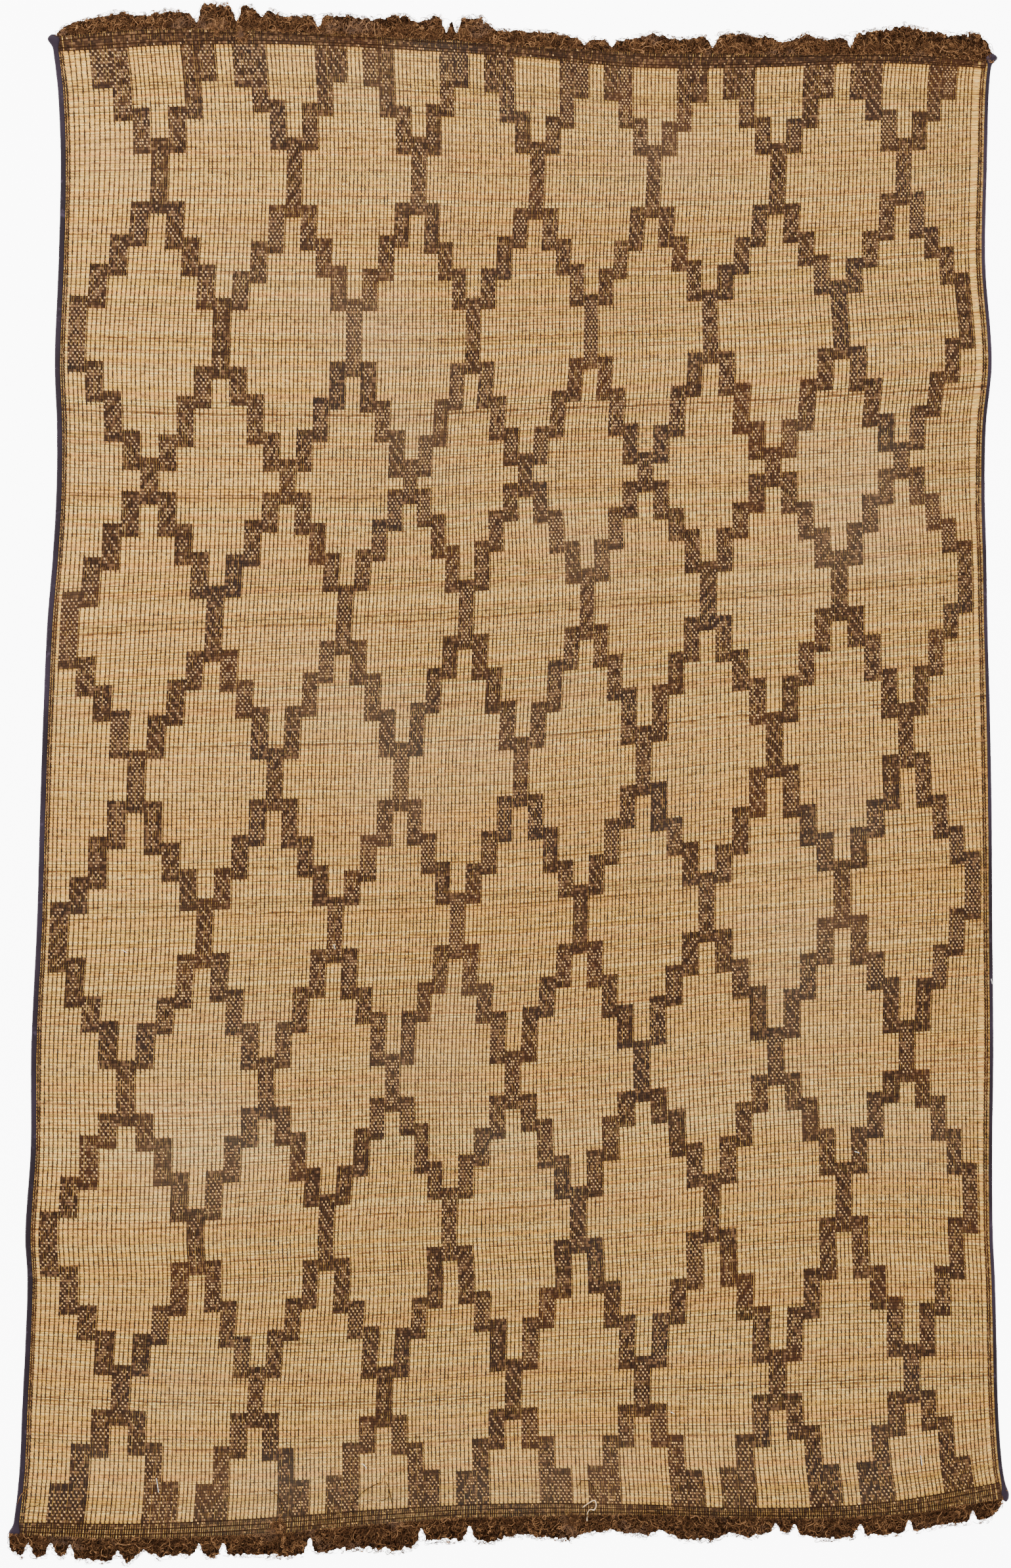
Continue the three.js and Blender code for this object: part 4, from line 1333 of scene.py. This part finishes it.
def make_curls(name, end_column, outward, seed):
    """Curled hairs over the mass; some lie combed straight outwards, some loop back."""
    chance = np.random.default_rng(seed)
    tufts = ENDS[end_column][0]
    tries = chance.uniform(tufts[0, 0] + 2, tufts[-1, 0] - 1, 3 * STRANDS_PER_END)
    kept = chance.uniform(0, DEEPEST_FRINGE, len(tries)) < fringe_reach(end_column, tries)
    roots = tries[kept][:STRANDS_PER_END]
    count = len(roots)
    reach = fringe_reach(end_column, roots)
    past = -STRAND_OVERLAP + (reach + STRAND_OVERLAP) * chance.uniform(0, 1, count)
    starts = np.stack([roots, past], axis=1)
    combed = chance.random(count) < COMBED_SHARE
    starts[combed, 1] = chance.uniform(-STRAND_OVERLAP, 2, combed.sum())
    straight = chance.uniform(-COMBED_LEAN, COMBED_LEAN, count)
    headings = np.where(combed, straight, chance.uniform(-LOOSE_LEAN, LOOSE_LEAN, count))
    curling = np.where(combed, COMBED_CURL, chance.uniform(*LOOSE_CURLS, count))
    extra = chance.normal(0, OVERSHOOT, count)
    low_side, high_side = tufts[0, 0], tufts[-1, 0]

    def room(place, step):
        limit = fringe_reach(end_column, place[:, 0]) + extra
        slow = np.clip((limit + LIMIT_MARGIN - place[:, 1]) / SLOWING_LENGTH, TURNED_BACK, 1)
        outwards = np.where(step[:, 1] > 0, step[:, 1] * slow, step[:, 1])
        outwards = np.where(place[:, 1] < -STRAND_OVERLAP, np.abs(outwards), outwards)
        sideways = np.where(place[:, 0] < low_side, np.abs(step[:, 0]), step[:, 0])
        sideways = np.where(place[:, 0] > high_side, -np.abs(step[:, 0]), sideways)
        return np.stack([sideways, outwards], axis=1)

    walk = curl_paths(chance, starts, headings, curling, room)
    sides = walk[:, :, 0]
    past = walk[:, :, 1]
    ends = heading_end(end_column, sides.reshape(-1)).reshape(sides.shape)
    steps = np.linspace(0, 1, STRAND_STATIONS)
    base = chance.uniform(*STRAND_HEIGHTS, (count, 1))
    wave = chance.uniform(*WAVE_HEIGHTS, (count, 1))
    turns = steps * chance.uniform(*WAVE_TURNS, (count, 1))
    wave = wave * np.sin(turns + chance.uniform(*WAVE_STARTS, (count, 1)))
    near_tip = np.clip(past / fringe_reach(end_column, sides), 0, 1) ** 3
    lift = (base + wave) * (1 - TIP_DROP * near_tip)
    on_cloth = np.clip(1 - (past + CURL_CLIMB[0]) / CURL_CLIMB[1], 0, 1)
    lift = np.maximum(lift, LOWEST_ON_CLOTH * on_cloth + PILED_SHARE * base * on_cloth)
    lift = np.clip(lift, LOWEST_CURL, HIGHEST_STRAND)
    paths = np.stack([sides, ends + outward * past, lift], axis=-1)
    widths = STRAND_WIDTH * chance.uniform(*STRAND_WIDTHS, count)
    rolls = chance.uniform(-STRAND_ROLL, STRAND_ROLL, (count, 1))
    rolls = rolls + wander(chance, count, STRAND_STATIONS, 4, STRAND_TWIST)
    return make_strands(name, paths, widths, rolls, curled_hair)


top_mass = make_mass("top_fringe_mass", 1, 1, 61)
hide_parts("top_fringe")
top_curls = make_curls("top_fringe_curls", 1, 1, 62)
bottom_mass = make_mass("bottom_fringe_mass", 2, -1, 63)
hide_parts("bottom_fringe")
bottom_curls = make_curls("bottom_fringe_curls", 2, -1, 64)


# The loose ends: warp ends, pale curls, tangles and lint that have worked free with use. They lie
# on the last rows of the cloth and on the fringes, and a few white bits of lint on the field.
THREAD_SIDES = 5
THREAD_STATIONS = 26
THREAD_LIFT = 6.9
THREAD_FRINGE_LIFT = 8.9
THREAD_CLOTH_END = 1372
THREAD_CLIMB = 25
HIGHEST_THREAD = 9.6
THREAD_WANDER = 0.4
THREAD_UNEVEN = 0.25
THREAD_TIP_SHARE = 0.4
TANGLE_STRANDS = 110
TANGLE_WIDTH = 0.9
TANGLE_SPREAD = 0.45
TANGLE_CURLS = (0.8, 1.6)
TANGLE_HEIGHTS = (6.6, 9.2)
TANGLE_WIDTHS = (0.6, 1.4)

# Lines of the threads in millimetres, across and along the mat: dark warp ends, brown ones, pale
DARK_THREADS = [
    [(-453, -1313), (-442, -1318), (-432, -1326), (-423, -1341), (-423, -1353), (-409, -1358),
     (-400, -1375)],
    [(-300, -1341), (-290, -1337), (-278, -1325), (-266, -1315), (-245, -1304), (-235, -1302)],
    [(-229, -1300), (-224, -1311), (-220, -1329), (-217, -1347), (-218, -1368)],
    [(-238, -1336), (-227, -1331), (-220, -1326)],
    [(-291, -1341), (-291, -1353), (-288, -1371), (-282, -1384)],
    [(130, -1308), (134, -1300), (141, -1298), (151, -1300), (157, -1309), (159, -1320),
     (164, -1331)],
    [(-906, -1359), (-894, -1347), (-882, -1346), (-872, -1340)],
    [(-508, 1420), (-518, 1390), (-511, 1359), (-507, 1341)],
]
BROWN_THREADS = [
    [(-236, -1302), (-234, -1292), (-224, -1283), (-208, -1280), (-194, -1277)],
    [(-916, -1342), (-910, -1326), (-900, -1316), (-890, -1309), (-879, -1307), (-863, -1311)],
    [(-741, -1402), (-729, -1414), (-716, -1418), (-698, -1416), (-689, -1423), (-674, -1423),
     (-661, -1417)],
    [(686, -1347), (696, -1353), (702, -1365), (699, -1378), (686, -1390), (667, -1397)],
    [(885, -1332), (887, -1343), (894, -1351), (903, -1348), (907, -1340)],
    [(920, -1351), (921, -1332), (920, -1319), (925, -1316), (932, -1318)],
    [(796, 1380), (808, 1370), (823, 1365), (839, 1369), (845, 1373)],
    [(698, 1387), (704, 1395), (711, 1392), (713, 1385)],
]
PALE_THREADS = [
    [(138, -1348), (149, -1340), (160, -1335), (163, -1345), (159, -1353), (152, -1352),
     (147, -1358), (146, -1369), (146, -1374)],
]

# White lint: middle across and along, reach across and along
LINT = [
    (-269, -1271, 8, 9), (-655, -1307, 4, 27), (769, -1261, 3, 20), (-716, -312, 8, 5),
    (-325, -303, 3, 9), (649, -686, 9, 3), (900, -367, 2, 9), (305, -1172, 8, 4),
]

# Tangles of curled hair: middle across and along, half width and half height
TANGLES = [(-429, -1384, 18, 13), (116, -1378, 17, 15), (-543, 1412, 8, 6), (-498, 1396, 5, 6)]


def make_thread_material(name, dark, light):
    """Loose spun fibre with a slow change of tone along it."""
    material, tree, shader = open_material(name, 0.85, 0.08)
    tone = noise(tree, place_of(tree), 160.0, 3.0).step(0.35, 0.65)
    connect(tone.mix(dark, light), shader.inputs["Base Color"])
    return material


def make_threads(name, lines, radius, material, seed):
    """Round loose threads along given lines, lying on the cloth or over a fringe."""
    chance = np.random.default_rng(seed)
    at = np.linspace(0, 1, THREAD_STATIONS)
    places = np.array([
        smooth_through(np.linspace(0, 1, len(line)), np.array(line, dtype=float), at)
        for line in lines
    ])
    beyond = np.clip((np.abs(places[:, :, 1]) - THREAD_CLOTH_END) / THREAD_CLIMB, 0, 1)
    lift = THREAD_LIFT + (THREAD_FRINGE_LIFT - THREAD_LIFT) * beyond
    lift += wander(chance, len(lines), THREAD_STATIONS, 4, THREAD_WANDER)
    lift = np.minimum(lift, HIGHEST_THREAD - radius)
    paths = np.concatenate([places, lift[:, :, None]], axis=2)
    across, above = frame_along(paths)
    turns = 2 * math.pi * np.arange(THREAD_SIDES) / THREAD_SIDES
    thick = radius * (1 + wander(chance, len(lines), THREAD_STATIONS, 3, THREAD_UNEVEN))
    thick[:, [0, -1]] *= THREAD_TIP_SHARE
    ring = (across[:, :, None, :] * np.cos(turns)[None, None, :, None]
            + above[:, :, None, :] * np.sin(turns)[None, None, :, None])
    points = paths[:, :, None, :] + ring * thick[:, :, None, None]
    number = np.arange(points.size // 3).reshape(points.shape[:3])
    flat = points.reshape(-1, 3)
    faces = grid_faces(closed_rings(number), "abcd")
    piece = make_piece(name, placed(*flat.T), faces, flat[:, :2] / 10, [material])
    return piece


def make_tangles():
    """Small balls of curled hair, looser towards their edges."""
    chance = np.random.default_rng(71)
    middles = np.repeat(np.array(TANGLES, dtype=float), TANGLE_STRANDS, axis=0)
    count = len(middles)
    starts = middles[:, :2] + middles[:, 2:] * chance.normal(0, TANGLE_SPREAD, (count, 2))
    headings = chance.uniform(-math.pi, math.pi, count)
    curling = chance.uniform(*TANGLE_CURLS, count)
    walk = curl_paths(chance, starts, headings, curling, lambda place, step: step)
    lift = chance.uniform(*TANGLE_HEIGHTS, (count, 1))
    lift = lift + wander(chance, count, STRAND_STATIONS, 4, THREAD_WANDER)
    paths = np.concatenate([walk, lift[:, :, None]], axis=2)
    rolls = chance.uniform(-STRAND_ROLL, STRAND_ROLL, (count, 1)) + np.zeros(lift.shape)
    widths = TANGLE_WIDTH * chance.uniform(*TANGLE_WIDTHS, count)
    piece = make_strands("loose_tangles", paths, widths, rolls, curled_hair)
    return piece


dark_threads = make_threads(
    "loose_dark_threads", DARK_THREADS, 0.65,
    make_thread_material("dark_warp_end", paint(26, 14, 7), paint(60, 38, 22)), 72,
)
brown_threads = make_threads(
    "loose_brown_threads", BROWN_THREADS, 0.6,
    make_thread_material("brown_warp_end", paint(92, 60, 36), paint(146, 106, 70)), 73,
)
pale_threads = make_threads(
    "loose_pale_curls", PALE_THREADS, 1.2,
    make_thread_material("pale_cotton_curl", paint(196, 158, 112), paint(240, 214, 176)), 74,
)
lint_lines = [[(x - wide / 2, y + tall / 2), (x + wide * 0.1, y), (x + wide / 2, y - tall / 2)]
              for x, y, wide, tall in LINT]
white_lint = make_threads(
    "white_lint", lint_lines, 0.6,
    make_thread_material("white_lint", paint(236, 232, 226), paint(252, 250, 246)), 75,
)
tangles = make_tangles()


# The studio: a plain pale floor that the mat lies on, one large soft light above its top end and
# even light from all round, seen straight down from high above.
FLOOR_SIZE = 40.0
FLOOR_GLOW = 8.0
VIEW_HEIGHT = 12.0
FRAME_HEIGHT = 2.925
SENSOR_HEIGHT = 36.0
VIEW_MIDDLE = (-6.1, 0.6)
SOFT_LIGHT_POWER = 400.0
SOFT_LIGHT_SIZE = 5.0
SOFT_LIGHT_PLACE = (-1.6, 3.2, 4.2)
SURROUND_STRENGTH = 1.4


def make_floor():
    mesh = bpy.data.meshes.new("floor")
    half = FLOOR_SIZE / 2
    mesh.from_pydata(
        [(-half, -half, 0), (half, -half, 0), (half, half, 0), (-half, half, 0)], [],
        [(0, 1, 2, 3)],
    )
    material, tree, shader = open_material("pale_floor", 0.9, 0.1)
    grain = noise(tree, None, 3.0, 2.0)
    colour = grain.mix(paint(246, 246, 246), paint(250, 250, 250))
    connect(colour, shader.inputs["Base Color"])
    shader.inputs["Emission Color"].default_value = (1.0, 1.0, 1.0, 1.0)
    shader.inputs["Emission Strength"].default_value = FLOOR_GLOW
    mesh.materials.append(material)
    floor = bpy.data.objects.new("floor", mesh)
    bpy.context.scene.collection.objects.link(floor)
    return floor


def aim(thing, target):
    direction = np.array(target) - np.array(thing.location)
    flat = math.hypot(direction[0], direction[1])
    thing.rotation_euler = (
        math.atan2(flat, -direction[2]), 0.0, math.atan2(-direction[0], direction[1]) if flat else 0
    )


floor = make_floor()
lamp = bpy.data.lights.new("soft_light", "AREA")
lamp.energy = SOFT_LIGHT_POWER
lamp.shape = "DISK"
lamp.size = SOFT_LIGHT_SIZE
soft_light = bpy.data.objects.new("soft_light", lamp)
soft_light.location = SOFT_LIGHT_PLACE
aim(soft_light, (0.0, 0.0, 0.0))
bpy.context.scene.collection.objects.link(soft_light)

world = bpy.data.worlds.new("surround")
world.use_nodes = True
backdrop = world.node_tree.nodes["Background"]
backdrop.inputs["Color"].default_value = (1.0, 1.0, 1.0, 1.0)
backdrop.inputs["Strength"].default_value = SURROUND_STRENGTH
bpy.context.scene.world = world

lens = bpy.data.cameras.new("camera")
lens.sensor_fit = "VERTICAL"
lens.sensor_height = SENSOR_HEIGHT
lens.lens = SENSOR_HEIGHT * VIEW_HEIGHT / FRAME_HEIGHT
lens.clip_end = 100.0
camera = bpy.data.objects.new("camera", lens)
camera.location = (VIEW_MIDDLE[0] * MM + SHIFT_X, VIEW_MIDDLE[1] * MM + SHIFT_Y, VIEW_HEIGHT)
bpy.context.scene.collection.objects.link(camera)
bpy.context.scene.camera = camera
